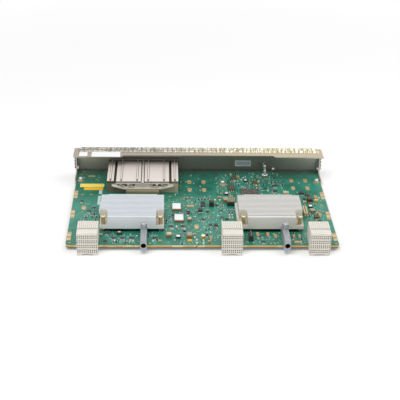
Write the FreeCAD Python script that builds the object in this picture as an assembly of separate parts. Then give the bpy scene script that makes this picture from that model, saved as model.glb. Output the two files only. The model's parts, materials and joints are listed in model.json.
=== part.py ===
"""Switch line card: a plug-in circuit board with a folded front panel, three backplane
receptacles, two guide blocks, two finned coolers and a cage for an optical module.

Millimetres. X runs along the card's width, +Y from the backplane edge to the front panel,
+Z up from the surface that the card lies on. Below, places are given from the middle of the
board's backplane edge and from the board's top face; save() moves them to the final frame.
"""
import FreeCAD, Part
import math
import os

os.makedirs("parts", exist_ok=True)
Vec = FreeCAD.Vector

# Circuit board
board_width = 309.0
board_depth = 190.5
board_thickness = 3.2
board_corner = 3.5
board_notch_x = -7.0
board_notch_radius = 1.2
underside_room = 2.8          # height of the board's underside above the rest surface

# Folded front panel
sheet = 1.5
bend_radius = 0.8
side_gap = 0.3                # between the board's side and the panel's side flange
top_overhang = 1.7            # of the top flange past the side flanges
panel_height = 36.3
board_to_panel = 2.0
top_flange_depth = 27.0
top_flange_relief = 4.5       # the middle of the top flange is this much shallower
relief_left_x = -94.4
relief_right_x = 93.5
side_flange_depth = 14.5
side_strip_depth = 35.5       # the low strip below a side flange reaches further forward
side_strip_top = 1.6
bottom_flange_depth = 20.0
tab_radius = 7.0
corner_seam = 0.4

# Spring-finger gaskets on the panel's flanges
finger_pitch = 8.8
finger_slit = 1.0
gasket_width = 12.0
gasket_rise = 1.5
gasket_thickness = 0.35
gasket_rail = 1.6
gasket_inset = 1.2            # from the panel's outer face and from a side flange's edge
side_gasket_fingers = 5
side_finger_pitch = 4.4

# Backplane receptacles
receptacle_left_inset = 25.3   # centre of a receptacle from the board's side
receptacle_right_inset = 23.7
receptacle_middle = 32.4
receptacle_columns = 10
column_pitch = 2.3
receptacle_top = 21.6
hood_length = 11.5
wafer_length = 17.8
wafer_gap = 0.3
contact_pairs = 4
pair_pitch = 5.9
pair_split = 2.35
lowest_pair_z = -0.8
contact_width = 1.2
contact_height = 1.5
contact_depth = 1.6
foot_width = 5.6
foot_recess = 1.2
foot_reach = 5.0

# Guide blocks
guide_from_left = 62.3        # from the centre of the receptacle on the same side
guide_from_right = 36.5
guide_width = 7.3
guide_nose = 10.0
guide_drop = 1.5
guide_top = 12.0
guide_length = 30.0
guide_bore_radius = 2.4
guide_bore_length = 22.0
guide_bore_z = 5.0
guide_lead_in = 0.7
guide_boss_y = 18.0
guide_boss_top = 19.6
guide_screw_reach = 6.0

# Finned coolers over the two packet processors
cooler_left_inset = 73.5      # centre of a cooler from the board's side
cooler_right_inset = 74.3
cooler_width = 74.0
cooler_front = 30.5
cooler_depth = 56.2
cooler_standoff = 4.0
cooler_base = 4.0
cooler_top = 19.3
cooler_ledge = 2.4            # the base stands out past the left ends of the fins
ledge_starts = (34.0, 12.0)   # from the cooler's front, for the left and the right one
cooler_face = 4.0
fin_pitch = 3.05
fin_thickness = 1.9
pocket_width = 9.2
pocket_depth = 18.5
pocket_radius = 4.3
cooler_notch = 8.4
notch_depth = 1.2
processor_size = 45.0
processor_height = 1.8
lid_size = 38.0
lid_height = 1.7

# Spring screws of the coolers
spring_screw_x = 4.1          # from the cooler's side, inside its pocket
spring_screw_y = 5.6          # from the cooler's front
spring_length = 8.6
spring_radius = 2.1
spring_wire = 0.6
spring_turns = 5.0
spring_steps = 6              # straight stretches in a turn
m3_radius = 1.45
pan_head_radius = 2.8
pan_head_height = 2.0
board_screw_radius = 2.5
board_screw_height = 4.0
board_screw_crown = 1.0
board_washer_radius = 3.3
board_washer_height = 0.5
hole_clearance = 0.25
nut_radius = 3.2

# Cage for the optical module
cage_x = -70.25
cage_width = 87.7
cage_length = 64.1
rail_width = 8.2
rail_wall = 2.2
rail_top = 15.5
rail_lip = 4.2
rail_foot = 1.4
rail_stop = 4.0               # solid end block of a rail, which stops the module
ledge_width = 1.7
ledge_thickness = 1.0
bezel_thickness = 3.0
bezel_height = 14.4
port_height = 9.2
port_sill = 1.2

# Riding cooler on the module, with its T-shaped spring clip
rider_width = 65.0
rider_front = -0.6            # from the near end of the rails
rider_length = 61.0
rider_plate_length = 56.0
rider_drop = 1.3              # pedestal below the ledge that carries the flange
rider_flange = 1.2
plate_step = 2.2              # the far end of the top is this much lower than the plates
rider_side_gap = 0.45
rider_seat_gap = 0.1          # between the flange and the rails' ledges at rest
groove_width = 4.6
groove_depth = 2.0
rib_width = 1.5
rib_height = 1.3
rib_offsets = (6.75, 26.3)
rib_start = 3.6
slot_length = 2.6
slot_width = 2.4
slot_depth = 2.6
front_wall = 1.5              # low wall between a rail's near end and the connector
front_wall_top = 7.6
clip_sheet = 1.0
clip_stem_width = 2.6
clip_flare = 6.0              # the stem widens to this much where it meets the plate
clip_half_span = 38.6
clip_flat_half = 24.0
clip_bottom = 6.0
clip_top = 12.8
clip_rim = 2.6
clip_window_inner = 7.6       # from the clip's middle to its two windows
clip_window_outer = 33.6

# Connector inside the cage
host_cover_width = 41.1
host_cover_front = -8.4       # from the near end of the rails
host_cover_length = 21.0
host_cover_top = 5.6
host_cover_wall = 1.0
host_plug_length = 6.0
host_clearance = 0.2

# Small parts on the board
light_pipe_x = 85.1
light_pipe_back = 17.0        # from the board's panel edge
light_pipe_radius = 1.5
light_pipe_z = 9.5
status_light_x = 97.6
side_screw_z = 6.8
side_screw_back = 8.6         # from the panel's inner face


# Places that follow from the sizes above
right = board_width / 2
left = -right
panel_width = board_width + 2 * (side_gap + sheet)
receptacle_centres = (left + receptacle_left_inset, receptacle_middle,
                      right - receptacle_right_inset)
guide_centres = (receptacle_centres[0] + guide_from_left,
                 receptacle_centres[2] - guide_from_right)
cooler_centres = (left + cooler_left_inset, right - cooler_right_inset)
board_screws = ((left + 5.8, board_depth - 29.6), (29.8, board_depth - 38.5),
                (right - 5.0, board_depth - 32.0))

# Frame: the bounding box stands on Z = 0, centred on the origin
board_top = underside_room + board_thickness
panel_inner = board_depth + board_to_panel
panel_outer = panel_inner + sheet
front_most = -max(hood_length, guide_nose)
middle_y = (panel_outer + front_most) / 2.0
rest_z = -board_top
panel_top = panel_height - board_top


def save(name, shape):
    """Move a finished piece from board places to the card's frame and write it."""
    placed = shape.copy()
    placed.translate(Vec(0, -middle_y, board_top))
    placed.exportStep("parts/" + name + ".step")


def block(x0, x1, y0, y1, z0, z1):
    return Part.makeBox(x1 - x0, y1 - y0, z1 - z0, Vec(x0, y0, z0))


def post(x, y, z0, z1, radius):
    return Part.makeCylinder(radius, z1 - z0, Vec(x, y, z0))


def rod_y(x, z, y0, y1, radius):
    return Part.makeCylinder(radius, y1 - y0, Vec(x, y0, z), Vec(0, 1, 0))


def joined(shapes):
    return shapes[0].multiFuse(shapes[1:]).removeSplitter()


def outline(corners, radii):
    """Closed wire through the corners, each turned with its own radius (0 keeps it sharp)."""
    stretches = []
    count = len(corners)
    for i in range(count):
        corner = corners[i]
        back = (corners[i - 1] - corner).normalize()
        ahead = (corners[(i + 1) % count] - corner).normalize()
        radius = radii[i]
        if radius == 0:
            stretches.append((corner, None, corner))
            continue
        half = back.getAngle(ahead) / 2.0
        reach = radius / math.tan(half)
        inward = (back + ahead).normalize()
        middle = corner + inward * (radius / math.sin(half) - radius)
        stretches.append((corner + back * reach, middle, corner + ahead * reach))
    edges = []
    for i in range(count):
        start, middle, end = stretches[i]
        if middle is not None:
            edges.append(Part.Arc(start, middle, end).toShape())
        next_start = stretches[(i + 1) % count][0]
        if end.distanceToPoint(next_start) > 1e-6:
            edges.append(Part.LineSegment(end, next_start).toShape())
    return Part.Wire(edges)


def prism(corners, radii, along):
    return Part.Face(outline(corners, radii)).extrude(along)


def plate(points, radii, z0, z1):
    corners = [Vec(x, y, z0) for x, y in points]
    return prism(corners, radii, Vec(0, 0, z1 - z0))


def rectangle(x0, x1, y0, y1):
    return [(x0, y0), (x1, y0), (x1, y1), (x0, y1)]


def pan_screw(x, y, seat_z, tip_z):
    """Screw whose head stands on seat_z, on the side away from its tip."""
    if tip_z < seat_z:
        head = post(x, y, seat_z, seat_z + pan_head_height, pan_head_radius)
        return head.fuse(post(x, y, tip_z, seat_z, m3_radius))
    head = post(x, y, seat_z - pan_head_height, seat_z, pan_head_radius)
    return head.fuse(post(x, y, seat_z, tip_z, m3_radius))


# ---- Circuit board ----

def spring_screw_places():
    places = []
    for centre in cooler_centres:
        for side in (-1, 1):
            x = centre + side * (cooler_width / 2 - spring_screw_x)
            places.append((x, cooler_front + spring_screw_y))
    return places


def circuit_board():
    half = board_width / 2
    corners = rectangle(-half, half, 0, board_depth)
    board = plate(corners, [board_corner] * 4, -board_thickness, 0)
    holes = [post(board_notch_x, 0, -board_thickness - 1, 1, board_notch_radius)]
    for x, y in board_screws:
        holes.append(post(x, y, -board_thickness - 1, 1, m3_radius + hole_clearance))
    for x, y in spring_screw_places():
        holes.append(post(x, y, -board_thickness - 1, 1, m3_radius + 2 * hole_clearance))
    for x in guide_centres:
        holes.append(post(x, guide_boss_y, -board_thickness - 1, 1,
                          m3_radius + hole_clearance))
    return board.cut(Part.makeCompound(holes))


# ---- Front panel ----

def front_panel():
    half = panel_width / 2
    outer = bend_radius + sheet
    top_near = panel_outer - top_flange_depth
    bottom_near = panel_outer - bottom_flange_depth
    low = rest_z
    # Section of the top flange, the face and the bottom flange, as one folded sheet
    points = [(top_near, panel_top), (panel_outer, panel_top), (panel_outer, low),
              (bottom_near, low), (bottom_near, low + sheet), (panel_inner, low + sheet),
              (panel_inner, panel_top - sheet), (top_near, panel_top - sheet)]
    radii = [0, outer, outer, 0, 0, bend_radius, bend_radius, 0]
    corners = [Vec(-half, y, z) for y, z in points]
    panel = prism(corners, radii, Vec(panel_width, 0, 0))
    # The top flange is shallower between two slanted steps
    relief = plate([(relief_left_x - top_flange_relief, top_near - 1),
                    (relief_left_x, top_near + top_flange_relief),
                    (relief_right_x, top_near + top_flange_relief),
                    (relief_right_x + top_flange_relief, top_near - 1)],
                   [0, 0.8, 0.8, 0], panel_top - 2 * sheet, panel_top + 1)
    panel = panel.cut(relief)
    # Side flanges fold back from the face, with a seam to the top and bottom flanges.
    # The top flange overhangs them, and a low strip of each runs on beside the board.
    for side in (-1, 1):
        edge = side * half
        lip = side * (half + top_overhang)
        overhang = block(min(edge, lip), max(edge, lip), top_near, panel_outer - outer,
                         panel_top - sheet, panel_top)
        panel = panel.fuse(overhang)
        seam = sheet + corner_seam
        near = panel_outer - side_flange_depth
        wall_out = side * half
        wall_in = side * (half - sheet)
        ear_in = side * (half - outer - 1)
        points = [(wall_out, near), (wall_out, panel_outer), (ear_in, panel_outer),
                  (ear_in, panel_inner), (wall_in, panel_inner), (wall_in, near)]
        side_radii = [0, outer, 0, 0, bend_radius, 0]
        slot = block(min(wall_out, ear_in) - 0.1, max(wall_out, ear_in) + 0.1,
                     panel_inner - 0.1, panel_outer + 1, low - 1, panel_top + 1)
        seat = slot.common(block(-half - 1, half + 1, panel_inner - 0.1, panel_outer + 1,
                                 low + seam, panel_top - seam))
        panel = panel.cut(seat)
        wall = plate(points, side_radii, low + seam, panel_top - seam)
        if side > 0:
            wall = plate([(x, y) for x, y in reversed(points)], side_radii[::-1],
                         low + seam, panel_top - seam)
        strip = block(min(wall_out, wall_in), max(wall_out, wall_in),
                      panel_outer - side_strip_depth, near + 1, low + seam, side_strip_top)
        panel = panel.fuse(wall).fuse(strip)
    # Tabs of the bottom flange that carry the board
    for x, y in board_screws:
        tab = plate(rectangle(x - tab_radius, x + tab_radius, y - tab_radius,
                              bottom_near + 1),
                    [tab_radius * 0.95, tab_radius * 0.95, 0, 0], low, low + sheet)
        limit = block(-half + sheet + 0.3, half - sheet - 0.3, 0, panel_outer, low, 0)
        panel = panel.fuse(tab.common(limit))
    cuts = [port_cut(1.0)]
    for x, y in board_screws:
        cuts.append(post(x, y, low - 1, low + sheet + 1, m3_radius + hole_clearance))
    cuts.append(rod_y(light_pipe_x, light_pipe_z, panel_inner - 1, panel_outer + 1,
                      light_pipe_radius + 0.1))
    cuts.append(rod_y(status_light_x, 1.5, panel_inner - 1, panel_outer + 1, 1.5))
    for side in (-1, 1):
        cuts.append(Part.makeCylinder(m3_radius, 4 * sheet,
                                      Vec(side * half - 2 * sheet, panel_inner - side_screw_back,
                                          side_screw_z), Vec(1, 0, 0)))
    return panel.cut(Part.makeCompound(cuts)).removeSplitter()


def port_cut(margin):
    """Prism of the module's way through the panel, wider than the port by the margin."""
    half = cage_width / 2 - rail_wall + margin
    z0 = port_sill - margin
    z1 = port_sill + port_height + margin
    corners = [Vec(cage_x - half, panel_inner - 1, z0), Vec(cage_x + half, panel_inner - 1, z0),
               Vec(cage_x + half, panel_inner - 1, z1), Vec(cage_x - half, panel_inner - 1, z1)]
    return prism(corners, [1.0] * 4, Vec(0, sheet + 2, 0))


# ---- Gaskets ----

def arch(x0, x1, y0, y1):
    """One spring finger: a bowed strip between two feet, rising in Z."""
    run = (y1 - y0) / 4
    inner = gasket_thickness
    top = gasket_rise - gasket_thickness
    section = [(y0, 0), (y0 + run, gasket_rise), (y1 - run, gasket_rise), (y1, 0),
               (y1 - inner, 0), (y1 - run - inner / 2, top), (y0 + run + inner / 2, top),
               (y0 + inner, 0)]
    corners = [Vec(x0, y, z) for y, z in section]
    return prism(corners, [0] * 8, Vec(x1 - x0, 0, 0))


def top_gasket():
    """Two rows of fingers, half a finger out of step, on a flat rail between them."""
    fingers = int(panel_width / finger_pitch)
    length = fingers * finger_pitch - finger_slit
    middle = gasket_width / 2
    rail = gasket_rail / 2
    solids = [block(0, length, middle - rail, middle + rail, 0, gasket_thickness)]
    for i in range(fingers):
        x0 = i * finger_pitch
        solids.append(arch(x0, x0 + finger_pitch - finger_slit, 0, middle - rail + 0.1))
    for i in range(fingers - 1):
        x0 = (i + 0.5) * finger_pitch
        solids.append(arch(x0, x0 + finger_pitch - finger_slit, middle + rail - 0.1,
                           gasket_width))
    strip = joined(solids)
    strip.translate(Vec(-length / 2, panel_outer - gasket_width - gasket_inset, panel_top))
    return strip


def side_gasket(side):
    """Short fingers one above the other on the outside of a side flange, near its edge."""
    depth = side_flange_depth - 2 * gasket_inset
    near = panel_outer - side_flange_depth + gasket_inset
    top = panel_top - sheet - corner_seam
    wall = side * panel_width / 2
    pitch = side_finger_pitch
    rise = side * gasket_rise
    inner = side * (gasket_rise - gasket_thickness)
    bows = []
    for i in range(side_gasket_fingers):
        z = top - (i + 1) * pitch
        section = [(0, 0), (rise, 0.25 * pitch), (rise, 0.75 * pitch), (0, pitch),
                   (0, pitch - gasket_thickness), (inner, 0.7 * pitch), (inner, 0.3 * pitch),
                   (0, gasket_thickness)]
        corners = [Vec(wall + x, near, z + up) for x, up in section]
        bows.append(prism(corners, [0] * 8, Vec(0, depth, 0)))
    seat = side * gasket_thickness
    bows.append(block(min(wall, wall + seat), max(wall, wall + seat), near + depth - gasket_rail,
                      near + depth, top - side_gasket_fingers * pitch, top))
    return joined(bows)


# ---- Backplane receptacles ----

def receptacle_hood(centre):
    """Moulded front of a receptacle, with its grid of contact openings and two feet."""
    half = receptacle_columns * column_pitch / 2
    hood = block(centre - half, centre + half, -hood_length, 0, rest_z, receptacle_top)
    top_edges = [e for e in hood.Edges if e.BoundBox.ZMin > receptacle_top - 0.01]
    hood = hood.makeChamfer(0.5, top_edges)
    for side in (-1, 1):
        outer = centre + side * half
        inner = centre + side * (half - foot_width)
        foot = block(min(outer, inner), max(outer, inner), -0.5, foot_reach,
                     rest_z, -board_thickness)
        hood = hood.fuse(foot)
    cuts = [block(centre - half + foot_width, centre + half - foot_width,
                  -hood_length - 1, 1, rest_z - 1, rest_z + foot_recess)]
    for column in range(receptacle_columns):
        x = centre + (column - (receptacle_columns - 1) / 2) * column_pitch
        for pair in range(contact_pairs):
            for split in (-1, 1):
                z = lowest_pair_z + pair * pair_pitch + split * pair_split / 2
                cuts.append(block(x - contact_width / 2, x + contact_width / 2,
                                  -hood_length - 1, -hood_length + contact_depth,
                                  z - contact_height / 2, z + contact_height / 2))
    return hood.cut(Part.makeCompound(cuts)).removeSplitter()


def receptacle_wafers(centre):
    """Ten thin moulded wafers side by side behind the hood, standing on the board."""
    top = receptacle_top + 0.6
    points = [(0, 0), (wafer_length, 0), (wafer_length, top - 1.6), (wafer_length - 1.6, top),
              (0, top)]
    wafers = []
    for column in range(receptacle_columns):
        x = centre + (column - receptacle_columns / 2) * column_pitch + wafer_gap / 2
        corners = [Vec(x, y, z) for y, z in points]
        wafers.append(prism(corners, [0] * 5, Vec(column_pitch - wafer_gap, 0, 0)))
    return Part.makeCompound(wafers)


# ---- Guide blocks ----

def guide_block(centre):
    """Cast block that takes the chassis guide pin, with a round boss behind its bore."""
    half = guide_width / 2
    section = [Vec(centre - half, -guide_nose, -guide_drop),
               Vec(centre + half, -guide_nose, -guide_drop),
               Vec(centre + half, -guide_nose, guide_top),
               Vec(centre - half, -guide_nose, guide_top)]
    body = prism(section, [0, 0, 1.6, 1.6], Vec(0, guide_nose + guide_length, 0))
    side = [(-guide_nose, -guide_drop), (0, -guide_drop), (0, 0), (guide_length, 0),
            (guide_length, guide_top * 0.55), (guide_length - 5, guide_top),
            (-guide_nose, guide_top)]
    corners = [Vec(centre - half, y, z) for y, z in side]
    body = body.common(prism(corners, [0] * 7, Vec(guide_width, 0, 0)))
    boss = post(centre, guide_boss_y, 0, guide_boss_top, half)
    crown = [e for e in boss.Edges if e.BoundBox.ZMin > guide_boss_top - 0.01]
    boss = boss.makeChamfer(1.0, crown)
    body = body.fuse(boss)
    lead = Part.makeCone(guide_bore_radius + guide_lead_in, guide_bore_radius, 1.4,
                         Vec(centre, -guide_nose, guide_bore_z), Vec(0, 1, 0))
    bore_end = guide_bore_length - guide_nose
    cuts = [rod_y(centre, guide_bore_z, -guide_nose - 1, bore_end, guide_bore_radius), lead,
            post(centre, guide_boss_y, -1, guide_screw_reach, m3_radius)]
    return body.cut(Part.makeCompound(cuts)).removeSplitter()


def guide_screws():
    """Screws from below the board, one up into the boss of each guide block."""
    return Part.makeCompound([pan_screw(x, guide_boss_y, -board_thickness, guide_screw_reach)
                              for x in guide_centres])


# ---- Finned coolers ----

def cooler(centre, ledge_start):
    """Machined aluminium cooler: base, smooth front bar, cross fins and two screw pockets."""
    half = cooler_width / 2
    back = cooler_front + cooler_depth
    base_top = cooler_standoff + cooler_base
    left_end = centre - half
    right_end = centre + half
    solids = [block(left_end, right_end, cooler_front, back, cooler_standoff, base_top),
              block(left_end - cooler_ledge, left_end + 1, cooler_front + ledge_start, back,
                    cooler_standoff, base_top),
              block(left_end, right_end, cooler_front, cooler_front + cooler_face,
                    base_top - 0.5, cooler_top)]
    fins = int((cooler_depth - cooler_face) / fin_pitch)
    for i in range(fins):
        y1 = back - i * fin_pitch
        solids.append(block(left_end, right_end, y1 - fin_thickness, y1,
                            base_top - 0.5, cooler_top))
    body = joined(solids)
    for side in (-1, 1):
        outer = centre + side * (half + 1)
        inner = centre + side * (half - pocket_width)
        points = rectangle(min(outer, inner), max(outer, inner), cooler_front - 1,
                           cooler_front + pocket_depth)
        radii = [0, 0, 0, pocket_radius] if side > 0 else [0, 0, pocket_radius, 0]
        body = body.cut(plate(points, radii, base_top, cooler_top + 1))
        x = centre + side * (half - spring_screw_x)
        body = body.cut(post(x, cooler_front + spring_screw_y, 0, cooler_top,
                             m3_radius + hole_clearance))
        notch = centre + side * (half - cooler_notch)
        body = body.cut(block(min(outer, notch), max(outer, notch), back - notch_depth,
                              back + 1, base_top, cooler_top + 1))
    return body.removeSplitter()


def cooler_screws():
    head_z = cooler_standoff + cooler_base + spring_length
    return Part.makeCompound([pan_screw(x, y, head_z, rest_z + 0.8)
                              for x, y in spring_screw_places()])


def cooler_springs():
    """Coil springs between the cooler's base and the screw heads."""
    low = cooler_standoff + cooler_base + spring_wire / 2
    rise = spring_length - spring_wire
    springs = []
    for x, y in spring_screw_places():
        course = []
        for step in range(int(spring_turns * spring_steps) + 1):
            angle = 2 * math.pi * step / spring_steps
            height = low + rise * step / (spring_turns * spring_steps)
            course.append(Vec(x + spring_radius * math.cos(angle),
                              y + spring_radius * math.sin(angle), height))
        half = spring_wire / 2
        start = course[0]
        corners = [start + Vec(a, 0, b) for a, b in ((-half, -half), (half, -half),
                                                     (half, half), (-half, half))]
        section = Part.makePolygon(corners + corners[:1])
        springs.append(Part.makePolygon(course).makePipeShell([section], True, True, 1))
    return Part.makeCompound(springs)


def hexagonal_nut(x, y, z0, z1):
    corners = [(x + nut_radius * math.cos(math.pi * i / 3),
                y + nut_radius * math.sin(math.pi * i / 3)) for i in range(6)]
    return plate(corners, [0] * 6, z0, z1).cut(post(x, y, z0 - 1, z1 + 1, m3_radius))


def cooler_nuts():
    """Nuts under the board, which the spring screws pull on."""
    return Part.makeCompound([hexagonal_nut(x, y, rest_z + 0.8, -board_thickness)
                              for x, y in spring_screw_places()])


def processor(centre):
    half = processor_size / 2
    middle = cooler_front + cooler_depth / 2
    return block(centre - half, centre + half, middle - half, middle + half,
                 0, processor_height)


def processor_lid(centre):
    half = lid_size / 2
    middle = cooler_front + cooler_depth / 2
    points = rectangle(centre - half, centre + half, middle - half, middle + half)
    return plate(points, [2.0] * 4, processor_height, processor_height + lid_height)


def thermal_pad(centre):
    half = lid_size / 2 - 1.5
    middle = cooler_front + cooler_depth / 2
    return block(centre - half, centre + half, middle - half, middle + half,
                 processor_height + lid_height, cooler_standoff)


# ---- Cage of the optical module ----

cage_far = panel_inner - bezel_thickness
cage_near = cage_far - cage_length + bezel_thickness
ledge_top = rail_top - rail_lip
plate_end = cage_near + rider_front + rider_plate_length


def cage_rail(side):
    """Channel that guides one edge of the module, closed at its near end by a stop."""
    outer = cage_x + side * cage_width / 2
    wall = outer - side * rail_wall
    inner = outer - side * rail_width
    ledge = inner - side * ledge_width

    def span(a, b, y0, y1, z0, z1):
        return block(min(a, b), max(a, b), y0, y1, z0, z1)

    connector = cage_x + side * (host_cover_width / 2 + host_clearance)
    solids = [span(outer, wall, cage_near, cage_far, 0, rail_top - plate_step),
              span(outer, inner, cage_near, plate_end, ledge_top, rail_top),
              span(outer, inner, cage_near, cage_far, ledge_top, rail_top - plate_step),
              span(outer, connector, cage_near, cage_near + front_wall, 0, front_wall_top),
              span(outer, inner, cage_near, cage_far, 0, rail_foot),
              span(outer, inner, cage_near, cage_near + rail_stop, 0, rail_top),
              span(outer, ledge, cage_near, cage_far, ledge_top - ledge_thickness, ledge_top)]
    middle = (outer + inner) / 2
    solids.append(block(middle - rib_width / 2, middle + rib_width / 2,
                        cage_near + rib_start, cage_far, ledge_top, rail_top + rib_height))
    rail = joined(solids)
    return rail.cut(rib_slot(middle, cage_near))


def rib_slot(x, near):
    """Short slot in the top face, just before a rib begins."""
    points = rectangle(x - slot_width / 2, x + slot_width / 2, near + 0.5,
                       near + 0.5 + slot_length)
    return plate(points, [1.0] * 4, rail_top - slot_depth, rail_top + 1)


def riding_cooler():
    """Flat cooler that floats on the module: pedestal, side flanges, ribs and a groove."""
    near = cage_near + rider_front
    far = near + rider_length
    half = rider_width / 2
    flange_half = cage_width / 2 - rail_width - rider_side_gap
    bottom = ledge_top - rider_drop
    solids = [block(cage_x - half, cage_x + half, near, plate_end, bottom, rail_top),
              block(cage_x - half, cage_x + half, near, far, bottom, rail_top - plate_step),
              block(cage_x - flange_half, cage_x + flange_half, near, far,
                    ledge_top + rider_seat_gap, ledge_top + rider_flange)]
    ribs = [side * offset for offset in rib_offsets for side in (-1, 1)]
    for offset in ribs:
        solids.append(block(cage_x + offset - rib_width / 2, cage_x + offset + rib_width / 2,
                            near + rib_start, far, ledge_top, rail_top + rib_height))
    body = joined(solids)
    cuts = [rib_slot(cage_x + offset, near) for offset in ribs]
    cuts.append(block(cage_x - groove_width / 2, cage_x + groove_width / 2, near - 1, far + 1,
                      rail_top - groove_depth, rail_top + 1))
    return body.cut(Part.makeCompound(cuts)).removeSplitter()


def clip_outline(grow, y):
    """Boat-shaped outline of the clip's cross plate in the XZ plane."""
    half = clip_half_span + grow
    flat = clip_flat_half + grow * 0.5
    low = clip_bottom - grow
    tip = clip_bottom + 4.2
    points = [(-flat, low), (flat, low), (half, tip - grow * 0.5), (half - 1.5, tip + 1.4),
              (half - 8.0, clip_top), (-half + 8.0, clip_top), (-half + 1.5, tip + 1.4),
              (-half, tip - grow * 0.5)]
    radii = [18.0, 18.0, 0.6, 1.0, 3.0, 3.0, 1.0, 0.6]
    return [Vec(cage_x + x, y, z) for x, z in points], radii


def clip_window(side, y):
    """Eye-shaped opening in one half of the clip's cross plate."""
    low = clip_bottom + 3.0
    high = clip_top - 0.8
    points = [(clip_window_inner, high - 1.0), (clip_window_inner + 3.0, low + 0.3),
              (clip_window_outer - 8.0, low), (clip_window_outer, high - 1.1),
              (clip_window_outer - 4.0, high), (clip_window_inner + 3.0, high)]
    radii = [0.8, 2.0, 4.0, 0.8, 1.5, 1.5]
    if side < 0:
        points = points[::-1]
        radii = radii[::-1]
    corners = [Vec(cage_x + side * x, y, z) for x, z in points]
    return prism(corners, radii, Vec(0, clip_sheet + 4, 0))


def spring_clip():
    """T-shaped sheet clip: a stem in the riding cooler's groove and a cross plate before it."""
    back = cage_near + rider_front
    front = back - clip_sheet
    corners, radii = clip_outline(0, front)
    clip = prism(corners, radii, Vec(0, clip_sheet, 0))
    clip = clip.cut(clip_window(-1, front - 2)).cut(clip_window(1, front - 2))
    corners, radii = clip_outline(0, front - clip_rim)
    rim = prism(corners, radii, Vec(0, clip_rim, 0))
    corners, radii = clip_outline(-1.5, front - clip_rim - 1)
    hollow = prism(corners, radii, Vec(0, clip_rim + 1, 0))
    above = block(cage_x - clip_half_span - 1, cage_x + clip_half_span + 1,
                  front - clip_rim - 1, front, clip_bottom + 5.0, clip_top + 5)
    rim = rim.cut(hollow).cut(above)
    stem_z = rail_top - groove_depth
    stem_top = stem_z + clip_sheet
    half = clip_stem_width / 2
    stem = block(cage_x - half, cage_x + half, front, back + rider_length - 1.0,
                 stem_z, stem_top)
    flare = [(-half, stem_top), (-clip_flare / 2, clip_bottom + 2.6),
             (clip_flare / 2, clip_bottom + 2.6), (half, stem_top)]
    riser = prism([Vec(cage_x + x, front - 0.6, z) for x, z in flare], [0] * 4,
                  Vec(0, clip_sheet + 0.6, 0))
    solids = [clip, rim, stem, riser]
    for side in (-1, 1):
        x = cage_x + side * 17.6
        solids.append(block(x - 1.4, x + 1.4, front - 1.2, back,
                            clip_bottom + 2.6, clip_top - 0.4))
    return joined(solids)


def host_cover():
    """Sheet cover over the connector that the module plugs into."""
    near = cage_near + host_cover_front
    half = host_cover_width / 2
    section = [Vec(cage_x - half, near, 0), Vec(cage_x + half, near, 0),
               Vec(cage_x + half, near, host_cover_top), Vec(cage_x - half, near, host_cover_top)]
    cover = prism(section, [0, 0, 1.6, 1.6], Vec(0, host_cover_length, 0))
    inner_half = half - host_cover_wall
    room = [Vec(cage_x - inner_half, near + host_cover_wall, -1),
            Vec(cage_x + inner_half, near + host_cover_wall, -1),
            Vec(cage_x + inner_half, near + host_cover_wall, host_cover_top - host_cover_wall),
            Vec(cage_x - inner_half, near + host_cover_wall, host_cover_top - host_cover_wall)]
    cover = cover.cut(prism(room, [0, 0, 0.6, 0.6], Vec(0, host_cover_length, 0)))
    high = host_cover_top - 1.1
    emboss = [Vec(cage_x - 9.0, near - 0.4, 1.0), Vec(cage_x + 9.0, near - 0.4, 1.0),
              Vec(cage_x + 7.0, near - 0.4, high), Vec(cage_x - 7.0, near - 0.4, high)]
    return cover.fuse(prism(emboss, [0.8] * 4, Vec(0, 0.6, 0))).removeSplitter()


def host_connector():
    """Moulded connector with the long slot that the module's edge board enters."""
    near = cage_near + host_cover_front + host_cover_wall + host_clearance
    far = near + host_cover_length + host_plug_length - host_cover_wall
    half = host_cover_width / 2 - host_cover_wall - host_clearance
    top = host_cover_top - host_cover_wall - host_clearance
    lower = block(cage_x - half, cage_x + half, near, far, 0, top - 1.0)
    upper = block(cage_x - half, cage_x + half, near, far, top - 1.2, top)
    edges = [e for e in upper.Edges if e.BoundBox.ZMin > top - 0.01 and e.BoundBox.XLength < 0.1]
    body = lower.fuse(upper.makeChamfer(0.8, edges))
    mouth = block(cage_x - half + 3, cage_x + half - 3, far - 5.0, far + 1,
                  top / 2 - 1.1, top / 2 + 1.1)
    return body.cut(mouth).removeSplitter()


def port_bezel():
    """Cast frame round the port, clamped between the panel and the rails."""
    half = cage_width / 2
    frame = block(cage_x - half - 1, cage_x + half + 1, cage_far, panel_inner, 0, bezel_height)
    inner = half - rail_wall
    corners = [Vec(cage_x - inner, cage_far - 1, port_sill),
               Vec(cage_x + inner, cage_far - 1, port_sill),
               Vec(cage_x + inner, cage_far - 1, port_sill + port_height - 0.3),
               Vec(cage_x - inner, cage_far - 1, port_sill + port_height - 0.3)]
    return frame.cut(prism(corners, [1.0] * 4, Vec(0, bezel_thickness + 2, 0)))


# ---- Screws of the panel ----

def board_screw_set():
    """Tall screws with washers that hold the board down on the panel's three tabs."""
    screws = []
    for x, y in board_screws:
        washer = post(x, y, 0, board_washer_height, board_washer_radius)
        head_top = board_washer_height + board_screw_height
        head = post(x, y, board_washer_height - 0.1, head_top, board_screw_radius)
        crown = [e for e in head.Edges if e.BoundBox.ZMin > head_top - 0.01]
        head = head.makeChamfer(board_screw_crown, crown)
        screws.append(joined([washer, head, post(x, y, rest_z + 0.3, 0, m3_radius)]))
    return Part.makeCompound(screws)


def clinch_nuts():
    """Nuts pressed into the panel's tabs, which also space the board from them."""
    return Part.makeCompound([hexagonal_nut(x, y, rest_z + sheet, -board_thickness)
                              for x, y in board_screws])


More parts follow.
